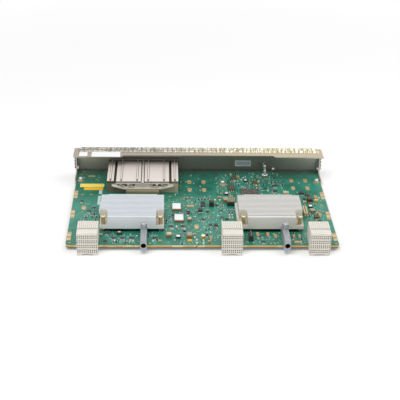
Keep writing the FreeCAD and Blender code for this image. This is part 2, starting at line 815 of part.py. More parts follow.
def side_screws():
    screws = []
    for side in (-1, 1):
        screw = pan_screw(0, 0, 0, -sheet)
        screw.rotate(Vec(0, 0, 0), Vec(0, 1, 0), -90 * side)
        screw.translate(Vec(side * (panel_width / 2 - sheet), panel_inner - side_screw_back,
                            side_screw_z))
        screws.append(screw)
    return Part.makeCompound(screws)


# ---- Lights ----

def light_pipe():
    """Clear pipe from a lamp on the board to the panel, on a small two-legged foot."""
    x, y, r = light_pipe_x, board_depth - light_pipe_back, light_pipe_radius
    foot = plate(rectangle(x - 4.1, x + 4.1, y - 3.0, y + 3.0), [2.0, 2.0, 0, 0], 0, 2.6)
    foot = foot.cut(block(x - 1.2, x + 1.2, y - 4, y - 1.2, -1, 4))
    turn = light_pipe_z - 3.4
    bend = Part.Arc(Vec(x, y, 3.4), Vec(x, y + turn * (1 - math.cos(math.pi / 4)),
                                       3.4 + turn * math.sin(math.pi / 4)),
                    Vec(x, y + turn, light_pipe_z)).toShape()
    path = Part.Wire([Part.LineSegment(Vec(x, y, 1), Vec(x, y, 3.4)).toShape(), bend,
                      Part.LineSegment(Vec(x, y + turn, light_pipe_z),
                                       Vec(x, panel_outer - 0.2, light_pipe_z)).toShape()])
    section = Part.Wire(Part.makeCircle(r, Vec(x, y, 1), Vec(0, 0, 1)))
    pipe = path.makePipeShell([section], True, False)
    return joined([foot, pipe])


def status_light():
    x = status_light_x
    base = block(x - 1.2, x + 1.2, board_depth - 3.4, board_depth - 1.0, 0, 2.4)
    lens = rod_y(x, 1.5, board_depth - 1.2, panel_inner - 0.2, 0.9)
    return joined([base, lens])


# ---- Packages and connectors soldered to the board ----
# Each row: centre x, centre y, width along X, depth along Y, height.

clock_rows = ((-28.9, 87.8, 10.6, 15.0, 3.0), (-26.4, 60.0, 11.0, 15.2, 3.2))

small_outline_rows = ((left + 53.3, 14.9, 4.9, 3.9, 1.6), (left + 63.5, 14.9, 4.9, 3.9, 1.6),
                      (left + 73.6, 14.9, 4.9, 3.9, 1.6), (-54.7, 14.9, 4.9, 3.9, 1.6),
                      (left + 45.3, 25.8, 4.2, 3.9, 1.6), (95.2, 145.4, 4.9, 5.0, 1.6),
                      (-35.8, 41.5, 5.0, 4.4, 1.6), (-22.1, 41.8, 4.9, 4.4, 1.6))

logic_rows = ((2.2, 58.4, 5.0, 5.0, 1.2), (10.3, 45.5, 3.5, 4.6, 1.4),
              (16.5, 43.3, 4.4, 4.6, 2.8), (24.3, 80.1, 3.3, 3.6, 1.2),
              (24.5, 63.6, 3.3, 3.6, 1.2), (-0.5, 79.4, 5.4, 5.4, 3.4),
              (3.1, 92.3, 4.9, 5.4, 2.4), (3.1, 99.0, 4.9, 5.4, 2.4),
              (left + 11.1, 103.1, 3.8, 3.6, 1.4), (left + 21.3, 78.1, 3.9, 4.2, 1.4),
              (94.4, 130.7, 5.0, 5.0, 1.6), (68.8, 6.6, 4.2, 4.2, 1.2),
              (right - 28.3, 124.6, 5.2, 5.2, 3.0))

memory_rows = ((62.6, 129.7, 22.0, 14.0, 1.4),)

inductor_rows = ((-15.0, 17.0, 5.6, 7.7, 5.8), (-38.3, 20.8, 6.2, 7.0, 3.6),
                 (31.2, 106.9, 6.0, 8.6, 3.6), (-13.9, 58.2, 4.6, 5.2, 2.8),
                 (right - 20.5, 79.6, 5.8, 6.0, 3.4), (left + 59.4, 25.6, 6.0, 4.4, 2.6))

regulator_rows = ((44.1, 165.5, 5.8, 7.6, 2.6), (70.7, 153.8, 5.8, 7.0, 2.6),
                  (40.2, 138.2, 7.4, 11.2, 2.8), (right - 21.4, 120.8, 3.6, 7.5, 3.4),
                  (right - 20.3, 106.3, 6.0, 7.6, 5.0), (right - 17.5, 63.8, 5.2, 6.0, 3.2))

crystal_rows = ((-27.8, 18.0, 5.4, 5.2, 2.0), (33.1, 123.6, 4.6, 4.4, 2.0),
                (59.3, 159.4, 4.2, 4.6, 2.0), (right - 21.3, 91.5, 5.0, 5.2, 2.0))

tantalum_rows = ((63.6, 23.8, 3.6, 6.0, 1.9), (75.2, 23.8, 3.6, 6.0, 1.9),
                 (83.8, 19.8, 3.6, 6.0, 1.9), (right - 12.1, 114.0, 3.4, 5.4, 1.9),
                 (right - 12.5, 70.2, 3.6, 6.0, 1.9), (right - 49.7, 20.2, 3.0, 5.2, 1.7),
                 (right - 43.1, 20.2, 3.0, 5.2, 1.7), (41.6, 178.0, 2.6, 3.6, 1.7),
                 (50.5, 172.8, 2.6, 3.6, 1.7), (9.4, 15.4, 2.8, 6.2, 1.9))


def packages(rows, corner):
    """Moulded packages standing on the board, with their top edges bevelled."""
    solids = []
    for x, y, width, depth, height in rows:
        body = block(x - width / 2, x + width / 2, y - depth / 2, y + depth / 2, 0, height)
        edges = [e for e in body.Edges if e.BoundBox.ZMin > height - 0.01]
        solids.append(body.makeChamfer(corner, edges))
    return Part.makeCompound(solids)


def angled_header():
    """Four-pin header lying on its side, pins bent down to the board."""
    x, y, pitch = 37.2, 92.6, 2.54
    body = block(x - 2 * pitch, x + 2 * pitch, y, y + 2.6, 0.6, 5.4)
    pins = []
    for i in range(4):
        centre = x + (i - 1.5) * pitch
        points = [(y - 1.0, 3.6), (y + 7.6, 3.6), (y + 7.6, 0), (y + 8.2, 0), (y + 8.2, 4.2),
                  (y - 1.0, 4.2)]
        corners = [Vec(centre - 0.3, a, b) for a, b in points]
        pins.append(prism(corners, [0] * 6, Vec(0.6, 0, 0)))
    return joined([body] + pins)


def keyed_header():
    """Upright shrouded header with a notch in its wall and four pins."""
    x, y = 13.4, 94.6
    shell = plate(rectangle(x - 2.8, x + 2.8, y - 3.6, y + 3.6), [0.6] * 4, 0, 5.6)
    shell = shell.cut(block(x - 2.0, x + 2.0, y - 2.8, y + 2.8, 1.2, 7))
    shell = shell.cut(block(x - 0.8, x + 0.8, y - 4, y - 2, 3.0, 7))
    pins = [block(x + a - 0.3, x + a + 0.3, y + b - 0.3, y + b + 0.3, 1.0, 5.2)
            for a in (-1.0, 1.0) for b in (-1.27, 1.27)]
    return joined([shell] + pins)


def jumper_header():
    """Tall two-row jumper block with a gold contact showing in its middle."""
    x, y = 54.8, 12.6
    body = block(x - 2.5, x + 2.5, y - 3.8, y + 3.8, 0, 8.0)
    body = body.cut(block(x - 1.2, x + 1.2, y - 4.5, y - 2.4, 3.0, 9))
    body = body.cut(block(x - 1.2, x + 1.2, y - 1.2, y + 1.2, 5.0, 9))
    pin = block(x - 0.35, x + 0.35, y - 0.35, y + 0.35, 4.5, 9.2)
    return joined([body, pin])


def board_socket():
    """Long narrow socket beside the right cooler, with a slot down its length."""
    x, y = right - 29.6, 77.0
    body = plate(rectangle(x - 2.2, x + 2.2, y - 9.4, y + 9.4), [0.8] * 4, 0, 4.6)
    return body.cut(block(x - 0.7, x + 0.7, y - 8.2, y + 8.2, 1.6, 6))


def test_socket():
    """Round coaxial test socket with a pin in its middle."""
    x, y = 0.7, 16.6
    shell = post(x, y, 0, 3.2, 2.6).cut(post(x, y, 1.0, 4, 1.9))
    base = block(x - 2.7, x + 2.7, y - 2.7, y + 2.7, 0, 0.9)
    pin = post(x, y, 0.8, 2.8, 0.4)
    return joined([base, shell, pin])


save("circuit_board", circuit_board())
save("front_panel", front_panel())
save("gasket_top", top_gasket())
save("gasket_left", side_gasket(-1))
save("gasket_right", side_gasket(1))
for label, centre in zip(("left", "middle", "right"), receptacle_centres):
    save("receptacle_hood_" + label, receptacle_hood(centre))
    save("receptacle_wafers_" + label, receptacle_wafers(centre))
for label, centre in zip(("left", "right"), guide_centres):
    save("guide_block_" + label, guide_block(centre))
save("guide_block_screws", guide_screws())
for label, centre, ledge_start in zip(("left", "right"), cooler_centres, ledge_starts):
    save("cooler_" + label, cooler(centre, ledge_start))
    save("processor_" + label, processor(centre))
    save("processor_lid_" + label, processor_lid(centre))
    save("thermal_pad_" + label, thermal_pad(centre))
save("cooler_screws", cooler_screws())
save("cooler_springs", cooler_springs())
save("cooler_nuts", cooler_nuts())
save("cage_rail_left", cage_rail(-1))
save("cage_rail_right", cage_rail(1))
save("port_bezel", port_bezel())
save("riding_cooler", riding_cooler())
save("spring_clip", spring_clip())
save("host_connector_cover", host_cover())
save("host_connector", host_connector())
save("board_screws", board_screw_set())
save("clinch_nuts", clinch_nuts())
save("side_screws", side_screws())
save("light_pipe", light_pipe())
save("status_light", status_light())
save("clock_modules", packages(clock_rows, 0.3))
save("small_outline_packages", packages(small_outline_rows, 0.25))
save("logic_packages", packages(logic_rows, 0.15))
save("memory_package", packages(memory_rows, 0.15))
save("power_inductors", packages(inductor_rows, 0.4))
save("regulators", packages(regulator_rows, 0.3))
save("crystals", packages(crystal_rows, 0.15))
save("tantalum_capacitors", packages(tantalum_rows, 0.2))
save("angled_header", angled_header())
save("keyed_header", keyed_header())
save("jumper_header", jumper_header())
save("board_socket", board_socket())
save("test_socket", test_socket())
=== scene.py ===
"""Looks of a switch line card: finishes for its modelled parts and the small detail on them.

Metres, in the card's own frame: X along the card, +Y from the backplane edge to the front
panel, +Z up. Sizes below are in millimetres and turned by mm where they are used.
"""
import json
import math
import random

import bmesh
import bpy
from mathutils import Matrix, Vector

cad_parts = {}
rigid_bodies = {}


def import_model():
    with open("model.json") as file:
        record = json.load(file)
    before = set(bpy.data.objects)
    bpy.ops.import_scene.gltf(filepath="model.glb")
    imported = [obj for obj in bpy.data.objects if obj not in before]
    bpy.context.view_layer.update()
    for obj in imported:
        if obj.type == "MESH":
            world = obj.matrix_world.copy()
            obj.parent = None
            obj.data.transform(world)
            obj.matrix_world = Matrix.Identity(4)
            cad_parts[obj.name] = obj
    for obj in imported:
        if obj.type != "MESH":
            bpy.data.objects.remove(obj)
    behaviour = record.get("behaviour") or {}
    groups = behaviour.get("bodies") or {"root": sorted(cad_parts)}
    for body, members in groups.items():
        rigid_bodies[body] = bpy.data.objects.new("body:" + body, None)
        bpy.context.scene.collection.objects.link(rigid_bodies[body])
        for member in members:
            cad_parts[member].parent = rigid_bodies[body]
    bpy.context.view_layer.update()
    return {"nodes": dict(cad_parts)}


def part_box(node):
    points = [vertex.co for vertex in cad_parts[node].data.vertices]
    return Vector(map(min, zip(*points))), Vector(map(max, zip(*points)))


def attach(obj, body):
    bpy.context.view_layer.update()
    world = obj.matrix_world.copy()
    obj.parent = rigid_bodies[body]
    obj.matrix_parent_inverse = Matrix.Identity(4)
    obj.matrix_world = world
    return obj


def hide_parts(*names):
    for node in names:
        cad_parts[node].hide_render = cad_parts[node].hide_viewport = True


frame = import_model()
mm = 0.001


# ---- Circuit board ----
# A laminate of glass cloth and epoxy, 3.2 mm thick, under a green solder mask. Copper
# tracks and plated holes show through the mask, and its cut edges carry gold plating.

def linear(code):
    """Linear colour of an sRGB hex value."""
    channels = [int(code[i:i + 2], 16) / 255 for i in (1, 3, 5)]
    return [c / 12.92 if c < 0.04045 else ((c + 0.055) / 1.055) ** 2.4 for c in channels] + [1]


def feed(node, sockets):
    """Gives a node's sockets a value, an sRGB code, or a link from a node or an output."""
    for name, value in sockets.items():
        if isinstance(value, bpy.types.Node):
            value = next(output for output in value.outputs if output.enabled)
        if isinstance(value, bpy.types.NodeSocket):
            node.id_data.links.new(value, node.inputs[name])
        else:
            node.inputs[name].default_value = linear(value) if isinstance(value, str) else value


def add(owner, kind, sockets=None, **settings):
    """Adds a node with its settings and links to a material or world; a Mix mixes colours."""
    made = owner.node_tree.nodes.new("ShaderNode" + kind)
    if kind == "Mix":
        made.data_type = "RGBA"
    for name, value in settings.items():
        setattr(made, name, value)
    feed(made, sockets or {})
    return made


def coat(material, sockets):
    """Feeds the material's own shader and gives the material back."""
    feed(material.node_tree.nodes["Principled BSDF"], sockets)
    return material


def past(material, tone, value, operation, limit, other):
    """The tone, or another one where the value is past a limit."""
    share = add(material, "Math", {0: value, 1: limit}, operation=operation)
    return add(material, "Mix", {"Factor": share, "A": tone, "B": other})


def begin_material(name, roughness, metallic=0.0, **constants):
    """A new material, with these constants on its own shader."""
    material = bpy.data.materials.new(name)
    material.use_nodes = True
    constants.update(Roughness=roughness, Metallic=metallic)
    return coat(material, {key.replace("_", " "): value for key, value in constants.items()})


def finish_nodes(material, *names):
    """Gives modelled parts their material."""
    for name in names:
        slots = frame["nodes"][name].data.materials
        slots.clear()
        slots.append(material)


board_low, board_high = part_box("circuit_board")
wave_period = 0.31            # of a wave pattern at scale 1
track_pitch = 1.2
track_zone = 11
via_pitch = 3.2
pour_size = 16.0
pour_x = (28, 12)             # from bare mask to the full pour
pour_y = (112, 126)
plating_length = 14
cooler_x = 80.6
cooler_half_width = 36.4
cooler_y = 59
cooler_half_depth = 27.6
mask_green = "#27806a"
mask_over_copper = "#37927b"
mask_shade = "#1f6d5a"
mask_over_pour = "#155a48"
painted_shade_under_coolers = "#0c2c24"
via_ring = "#9db893"
edge_gold = "#d8b673"
edge_laminate = "#e8dfae"


def solder_mask():
    """Glossy green lacquer: tracks and pours read as paler green, plated holes as dots."""
    mask = begin_material("solder_mask_over_copper", 0.32)
    texture = add(mask, "TexCoord").outputs
    place = texture["Object"]
    along = add(mask, "SeparateXYZ", {"Vector": place}).outputs
    pours = add(mask, "TexNoise", {"Vector": place, "Scale": 1 / (pour_size * mm),
                                   "Detail": 3.0, "Roughness": 0.45})
    base = add(mask, "ValToRGB", {"Fac": pours})
    zones = add(mask, "TexVoronoi", {"Vector": place, "Scale": 1 / (track_zone * mm)},
                distance="CHEBYCHEV")
    zone = add(mask, "SeparateColor", {"Color": zones.outputs["Color"]}).outputs
    runs = []
    for turn, channel in ((0.0, "Red"), (math.pi / 4, "Green")):
        turned = add(mask, "Mapping", {"Vector": place, "Rotation": (0, 0, turn)})
        wave = add(mask, "TexWave", {"Vector": turned,
                                     "Scale": wave_period / (2 * track_pitch * mm)})
        line = add(mask, "Math", {0: wave.outputs["Fac"], 1: 0.62}, operation="GREATER_THAN")
        here = add(mask, "Math", {0: zone[channel], 1: 0.35}, operation="LESS_THAN")
        runs.append(add(mask, "Math", {0: here, 1: line}, operation="MULTIPLY"))
    tracks = add(mask, "Math", {0: runs[0], 1: runs[1]}, operation="MAXIMUM")
    # An unbroken copper pour at the far left
    left = add(mask, "MapRange", {"Value": along["X"], "From Min": pour_x[0] * mm,
                                  "From Max": pour_x[1] * mm})
    far = add(mask, "MapRange", {"Value": along["Y"], "From Min": board_low.y + pour_y[0] * mm,
                                 "From Max": board_low.y + pour_y[1] * mm})
    pour = add(mask, "Math", {0: left, 1: far}, operation="MULTIPLY")
    pour = add(mask, "Math", {0: pour, 1: 0.7}, operation="MULTIPLY")
    tone = add(mask, "Mix", {"Factor": pour, "A": base, "B": mask_over_pour})
    # Painted shade under the two coolers, darkening the upper face only
    wide = add(mask, "Math", {0: along["X"]}, operation="ABSOLUTE")
    under = add(mask, "Math", {0: along["Z"], 1: board_high.z - 0.5 * mm},
                operation="GREATER_THAN")
    for value, middle, half in ((wide, cooler_x * mm, cooler_half_width),
                                (along["Y"], board_low.y + cooler_y * mm, cooler_half_depth)):
        inside = add(mask, "Math", {0: value, 1: middle, 2: half * mm}, operation="COMPARE")
        under = add(mask, "Math", {0: under, 1: inside}, operation="MULTIPLY")
    tone = add(mask, "Mix", {"Factor": under, "A": tone, "B": painted_shade_under_coolers})
    faint = add(mask, "Math", {0: tracks, 1: 0.4}, operation="MULTIPLY")
    tone = add(mask, "Mix", {"Factor": faint, "A": tone, "B": mask_over_copper})
    holes = add(mask, "TexVoronoi", {"Vector": place, "Scale": 1 / (via_pitch * mm),
                                     "Randomness": 0.7})
    via = add(mask, "Math", {0: holes, 1: 0.12}, operation="LESS_THAN")
    via = add(mask, "Math", {0: via, 1: 0.55}, operation="MULTIPLY")
    tone = add(mask, "Mix", {"Factor": via, "A": tone, "B": via_ring})
    # Cut edges: gold plating with bare laminate between, with painted shade darkening their lower
    # part
    facing = add(mask, "SeparateXYZ", {"Vector": texture["Normal"]}).outputs
    level = add(mask, "Math", {0: facing["Z"]}, operation="ABSOLUTE")
    stretches = add(mask, "TexNoise", {"Vector": place, "Scale": 1 / (plating_length * mm)})
    plating = add(mask, "ValToRGB", {"Fac": stretches})
    plating.color_ramp.interpolation = "CONSTANT"
    edge_shade_height = add(mask, "MapRange", {"Value": along["Z"], "From Min": board_low.z,
                                    "From Max": board_high.z})
    shading = add(mask, "ValToRGB", {"Fac": edge_shade_height})
    for ramp, stops in ((base, ((0.42, mask_shade), (0.58, mask_green))),
                        (plating, ((0.0, edge_gold), (0.56, edge_laminate))),
                        (shading, ((0.2, "#8a7050"), (0.45, "#e8e0d0"), (0.85, "#ffffff")))):
        elements = ramp.color_ramp.elements
        for number, (position, code) in enumerate(stops):
            stop = elements[number] if number < 2 else elements.new(position)
            stop.position = position
            stop.color = linear(code)
    banded = add(mask, "Mix", {"Factor": 1.0, "A": plating, "B": shading},
                 blend_type="MULTIPLY")
    whole = past(mask, tone, level, "LESS_THAN", 0.5, banded)
    raised = add(mask, "Bump", {"Height": tracks, "Strength": 0.25, "Distance": 0.05 * mm})
    return coat(mask, {"Base Color": whole, "Normal": raised})


finish_nodes(solder_mask(), "circuit_board")


# ---- Bare pads of the board ----
# Copper left free of the mask and plated with gold: oval pads around hidden screw holes,
# striped grounding pads along both sides, small round test pads and tan part outlines.

def on_board(x, y, z=0.0):
    """Point x from the board's middle, y from its backplane edge and z above its face."""
    return Vector((x * mm, board_low.y + y * mm, board_high.z + z * mm))


def upward(middle, normal):
    """Wants the faces that look up."""
    return normal.z > 0.9


def every(middle, normal):
    """Wants all the faces."""
    return True


def only(piece):
    """Selects one piece and nothing else."""
    bpy.ops.object.select_all(action="DESELECT")
    piece.select_set(True)
    bpy.context.view_layer.objects.active = piece


def new_piece(primitive, place, **sizes):
    """Adds a primitive of these sizes at its place, with the place kept in its mesh."""
    bpy.ops.object.select_all(action="DESELECT")
    primitive(location=place, **sizes)
    bpy.ops.object.transform_apply(location=True, rotation=True, scale=True)
    return bpy.context.object


def new_box(size, foot=(0, 0, 0)):
    """A box of that size in mm, the middle of its foot on that point."""
    return new_piece(bpy.ops.mesh.primitive_cube_add, size=mm, scale=size,
                     place=Vector(foot) + Vector((0, 0, size[2] * mm / 2)))


def new_post(radius, height, foot=(0, 0, 0), sides=28):
    """An upright cylinder, the middle of its foot on that point."""
    return new_piece(bpy.ops.mesh.primitive_cylinder_add, vertices=sides, radius=radius * mm,
                     depth=height * mm, place=Vector(foot) + Vector((0, 0, height * mm / 2)))


def shape(piece, wanted, *steps):
    """Edits a piece: each step is an operator and its settings, on the wanted faces."""
    only(piece)
    bpy.ops.object.mode_set(mode="EDIT")
    bpy.ops.mesh.select_mode(type="FACE")
    bpy.ops.mesh.select_all(action="DESELECT")
    bpy.ops.object.mode_set(mode="OBJECT")
    for face in piece.data.polygons:
        face.select = wanted(face.center / mm, face.normal)
    bpy.ops.object.mode_set(mode="EDIT")
    for operator, settings in steps:
        operator(**settings)
    bpy.ops.object.mode_set(mode="OBJECT")


def moved(x, y, z):
    """The step that shifts the wanted faces by so many mm."""
    return bpy.ops.transform.translate, {"value": (x * mm, y * mm, z * mm)}


def drawn_out(x, y, z):
    """The step that extrudes the wanted faces by so many mm."""
    return (bpy.ops.mesh.extrude_region_move,
            {"TRANSFORM_OT_translate": {"value": (x * mm, y * mm, z * mm)}})


def sink_middle(piece, rim, depth):
    """Sinks the upper face of a piece inside a rim of that width."""
    shape(piece, upward, (bpy.ops.mesh.inset, {"thickness": rim * mm}), drawn_out(0, 0, -depth))


def smooth(degrees):
    """Shades the active piece smooth across edges flatter than that."""
    bpy.ops.object.shade_smooth_by_angle(angle=math.radians(degrees))


def round_edges(piece, width, segments=2, wanted=every):
    """Bevels the edges of the wanted faces by that width in mm."""
    shape(piece, wanted, (bpy.ops.mesh.bevel, {"offset": width * mm, "segments": segments,
                                               "affect": "EDGES"}))
    smooth(35)
    return piece


def joined(pieces):
    """Makes one piece of several."""
    bpy.ops.object.select_all(action="DESELECT")
    for piece in pieces:
        piece.select_set(True)
    bpy.context.view_layer.objects.active = pieces[0]
    bpy.ops.object.join()
    return pieces[0]


def hand_over(name, piece, slot, *materials, body="card", nodes=()):
    """Names and finishes a new piece, attaches it to its body and hides the parts it stands for;
    slot is not used.
    """
    piece.name = name
    for material in materials:
        piece.data.materials.append(material)
    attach(piece, body)
    if nodes:
        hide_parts(*nodes)


def set_out(name, master, places, slot, *materials, **said):
    """Copies a master made at the origin to each point and turn, and hands it over whole."""
    copies = []
    for point, turn in places:
        copy = bpy.data.objects.new(name, master.data.copy())
        copy.data.transform(Matrix.Translation(point) @ Matrix.Rotation(turn, 4, "Z"))
        bpy.context.collection.objects.link(copy)
        copies.append(copy)
    bpy.data.objects.remove(master)
    hand_over(name, joined(copies), slot, *materials, **said)


def points(pairs, turn=0):
    """Places on the board's face, from pairs in mm."""
    return [(on_board(x, y), turn) for x, y in pairs]


def gold_plating(name, dark, light, stripe_pitch):
    """Dull gold over copper, with paler wiped stripes across a grounding pad."""
    gold = begin_material(name, 0.45, 0.35)
    place = add(gold, "TexCoord").outputs["Object"]
    wiped = add(gold, "TexWave", {"Vector": place, "Distortion": 1.5, "Detail": 1.0,
                                  "Scale": wave_period / (2 * stripe_pitch * mm)},
                bands_direction="Y")
    cloud = add(gold, "TexNoise", {"Vector": place, "Scale": 1 / (2.5 * mm)})
    share = add(gold, "Math", {0: wiped.outputs["Fac"], 1: cloud}, operation="MULTIPLY")
    tone = add(gold, "Mix", {"Factor": share, "A": dark, "B": light})
    return coat(gold, {"Base Color": tone})


pad_gold = gold_plating("gold_over_copper", "#b89868", "#e2cc9c", 3.5)
edge_pad_gold = gold_plating("wiped_gold_over_copper", "#b4976a", "#ecdfbb", 4.5)
pad_height = 0.05
pad_rounding = 0.02


def oval_post(radius, height, length):
    """A round post drawn out along Y by that length."""
    piece = new_post(radius, height, sides=24)
    shape(piece, lambda middle, normal: normal.y > 0.01 and abs(normal.z) < 0.5,
          moved(0, length, 0))
    piece.data.transform(Matrix.Translation((0, -length / 2 * mm, 0)))
    return piece


oval_places = points(((-12, 157), (6, 157), (-12, 135.6), (6, 135.6), (118, 162), (135.8, 162),
                      (118, 141.2), (136, 141.2), (-140, 88), (-6, 43)))
oval = round_edges(oval_post(2.6, pad_height, 5.0), pad_rounding, 1, upward)
set_out("oval_pads", oval, oval_places, "socket_gold", pad_gold)
ring = oval_post(1.5, 0.12, 4.4)
sink_middle(ring, 0.5, 0.06)
set_out("pressed_rings", ring, oval_places, "socket_gold", edge_pad_gold)

grounding_pad_width = 4.5
grounding_pad_x = 151.95
grounding_pads = []
for side, y0, y1 in ((-1, 113, 132), (-1, 62.5, 82), (-1, 11, 30),
                     (1, 112, 130.6), (1, 61, 79.4), (1, 10.6, 28.8)):
    pad = new_box((grounding_pad_width, y1 - y0, pad_height),
                  on_board(side * grounding_pad_x, (y0 + y1) / 2))
    grounding_pads.append(round_edges(pad, pad_rounding, 1))
hand_over("grounding_pads", joined(grounding_pads), "socket_gold", edge_pad_gold)

test_places = points(((-150.5, 5.8), (151.5, 4.2), (-144, 122), (-133.3, 122.2), (-148.6, 177),
                      (-129, 163), (-146, 184), (-38.6, 91.9), (-36.9, 117.4), (-116, 34.6),
                      (148, 96), (120, 4), (-20, 112), (27, 128), (-60, 4.5)))
test_pad = round_edges(new_post(1.4, pad_height, sides=16), pad_rounding, 1, upward)
set_out("test_pads", test_pad, test_places, "socket_gold",
        gold_plating("bright_gold_over_copper", "#bd8c30", "#ddb45c", 1.5))

outline = round_edges(new_box((2.7, 5.0, pad_height)), pad_rounding, 1)
outline_places = points([(x + shift, y) for x, y in ((-136, 172.5), (-12, 93.4), (108.5, 8.1))
                         for shift in (-2.9, 0, 2.9)])
set_out("unfitted_part_pads", outline, outline_places, "socket_gold", pad_gold)


# ---- Printed labels ----
# Paper and thin film labels stuck down flat, left blank here: yellow paper and pale film
# on the board, white paper on the flange, all cut with small round corners.

def clouded(name, dark, light, grain, roughness, metallic=0.0, detail=2.0, crumble=0.5,
            stretch=(1, 1, 1), **constants):
    """A material in two tones: soft clouds of grain mm, squeezed along the axes by stretch."""
    material = begin_material(name, roughness, metallic, **constants)
    place = add(material, "TexCoord", name="place").outputs["Object"]
    run = add(material, "Mapping", {"Vector": place, "Scale": stretch})
    cloud = add(material, "TexNoise", {"Vector": run, "Scale": 1 / (grain * mm),
                                       "Detail": detail, "Roughness": crumble}, name="cloud")
    tone = add(material, "Mix", {"Factor": cloud, "A": dark, "B": light}, name="tone")
    return coat(material, {"Base Color": tone})


def printed_paper(name, dark, light, roughness=0.5):
    """Coated paper or film: soft fibre clouds of a millimetre or two, slightly glossy."""
    return clouded(name, dark, light, 1.6, roughness, detail=4.0)


def label(name, x0, x1, y0, y1, z, paper):
    """A flat label with round corners, lying at that height above the board."""
    piece = new_box((x1 - x0, y1 - y0, 0.08), on_board((x0 + x1) / 2, (y0 + y1) / 2, z))
    only(piece)
    bpy.ops.object.mode_set(mode="EDIT")
    bpy.ops.mesh.select_mode(type="EDGE")
    bpy.ops.mesh.select_all(action="DESELECT")
    bpy.ops.object.mode_set(mode="OBJECT")
    for edge in piece.data.edges:
        start, end = [piece.data.vertices[i].co for i in edge.vertices]
        edge.select = abs(start.z - end.z) > 0.04 * mm
    bpy.ops.object.mode_set(mode="EDIT")
    bpy.ops.mesh.bevel(offset=0.6 * mm, segments=3, affect="EDGES")
    bpy.ops.object.mode_set(mode="OBJECT")
    hand_over(name, piece, "solder_mask", paper)


pale_yellow = printed_paper("pale_yellow_paper", "#e6cb52", "#f6e07a")
orange_yellow = printed_paper("orange_yellow_paper", "#d9a51c", "#eebc34")
white_paper = printed_paper("white_paper", "#dfe4e4", "#f2f4f4")
thin_film = printed_paper("thin_film", "#a3bdb6", "#bdd2cc")
label("pale_yellow_label", -148.6, -118.6, 141.9, 151.2, 0, pale_yellow)
label("orange_yellow_label", -143.2, -119.5, 134, 141, 0, orange_yellow)
label("narrow_white_label", -124.2, -120.2, 123.7, 133.2, 0, thin_film)
label("long_white_label", -124.5, -121, 96, 118.7, 0, thin_film)


# ---- Legend ----
# White ink screened on the mask beside the parts: short strokes and corners. The real
# marks are finer than half a millimetre; they are drawn just wide enough to show.

def solid_boxes(node):
    """Low and high corner of each separate solid of a modelled part, from left to right."""
    mesh = bmesh.new()
    mesh.from_mesh(frame["nodes"][node].data)
    bmesh.ops.remove_doubles(mesh, verts=mesh.verts, dist=0.001 * mm)
    waiting = set(mesh.verts)
    boxes = []
    while waiting:
        reached = [waiting.pop()]
        corners = []
        while reached:
            vert = reached.pop()
            corners.append(vert.co.copy())
            for edge in vert.link_edges:
                other = edge.other_vert(vert)
                if other in waiting:
                    waiting.remove(other)
                    reached.append(other)
        boxes.append(tuple(Vector([limit(corner[axis] for corner in corners)
                                   for axis in range(3)]) for limit in (min, max)))
    mesh.free()
    return sorted(boxes, key=lambda box: (round(box[0].x, 5), round(box[0].y, 5)))


taken = []
for node in frame["nodes"]:
    if node not in ("circuit_board", "front_panel", "gasket_top"):
        taken += solid_boxes(node)


def is_free(point, reach):
    """Whether nothing stands within that reach in mm of a point on the board."""
    room = reach * mm
    return not any(low.x - room < point.x < high.x + room
                   and low.y - room < point.y < high.y + room
                   and low.z < board_high.z + 5 * mm for low, high in taken)


def claim(places, reach_x, reach_y):
    """Keeps other small parts away from these places, and gives them back."""
    room = Vector((reach_x * mm, reach_y * mm, 0))
    taken.extend((point - room, point + room) for point, turn in places)
    return places


claim(oval_places, 2.6, 5.1)
claim(outline_places, 1.4, 2.5)
part_zones = ((-45, 33, 3, 118, 120), (22, 108, 120, 182, 130), (-106, -50, 3, 28, 34),
              (44, 124, 3, 28, 56), (119, 148, 50, 130, 34), (-142, -119, 40, 98, 26),
              (-146, -118, 154, 184, 3), (108, 146, 132, 184, 3), (-48, 22, 118, 184, 14))
chance = random.Random(11)
ink_height = 0.02
stroke = joined([
    round_edges(new_box((1.4, 0.35, ink_height)), 0.01, 1),
    round_edges(new_box((0.35, 1.1, ink_height), (0.6 * mm, 0.4 * mm, 0)), 0.01, 1)])
stroke_places = []
for x0, x1, y0, y1, count in part_zones:
    for number in range(count):
        point = on_board(chance.uniform(x0, x1), chance.uniform(y0, y1))
        turn = chance.choice((0, 1, 2, 3)) * math.pi / 2
        if is_free(point, 1.6):
            stroke_places.append((point, turn))
set_out("legend_strokes", stroke, stroke_places, "solder_mask",
        printed_paper("screened_white_ink", "#c9d6cc", "#e6ece4", 0.7))


# ---- Chip resistors and capacitors ----
# Ceramic chips a few millimetres long with tinned ends, soldered flat on the board. They
# are tan, brown, black or, for the larger ones, amber.

def tinned_solder():
    """Dull tin, lumpy at half a millimetre from the reflow oven."""
    tin = clouded("reflowed_tin", "#d2d3d1", "#f8f8f8", 0.5, 0.38, 0.45)
    bump = add(tin, "Bump", {"Height": tin.node_tree.nodes["cloud"], "Strength": 0.3,
                             "Distance": 0.1 * mm})
    return coat(tin, {"Normal": bump})


def fired_ceramic(name, dark, light):
    """Fired ceramic or film: an even colour with grains of a quarter millimetre."""
    return clouded(name, dark, light, 0.25, 0.5)


solder = tinned_solder()
black_film = fired_ceramic("black_glazed_film", "#232325", "#38383a")
tan_ceramic = fired_ceramic("tan_ceramic", "#a48a64", "#c0a67c")
brown_ceramic = fired_ceramic("brown_ceramic", "#6b543c", "#8a6f52")
white_alumina = fired_ceramic("white_alumina", "#e6e8e6", "#fafbfa")
cream_body = fired_ceramic("cream_ceramic", "#d6c9a4", "#f0e6c8")
amber_body = fired_ceramic("amber_moulding", "#b0803c", "#d6a85c")
yellow_body = fired_ceramic("yellow_moulding", "#e0ac3c", "#f4cc6a")


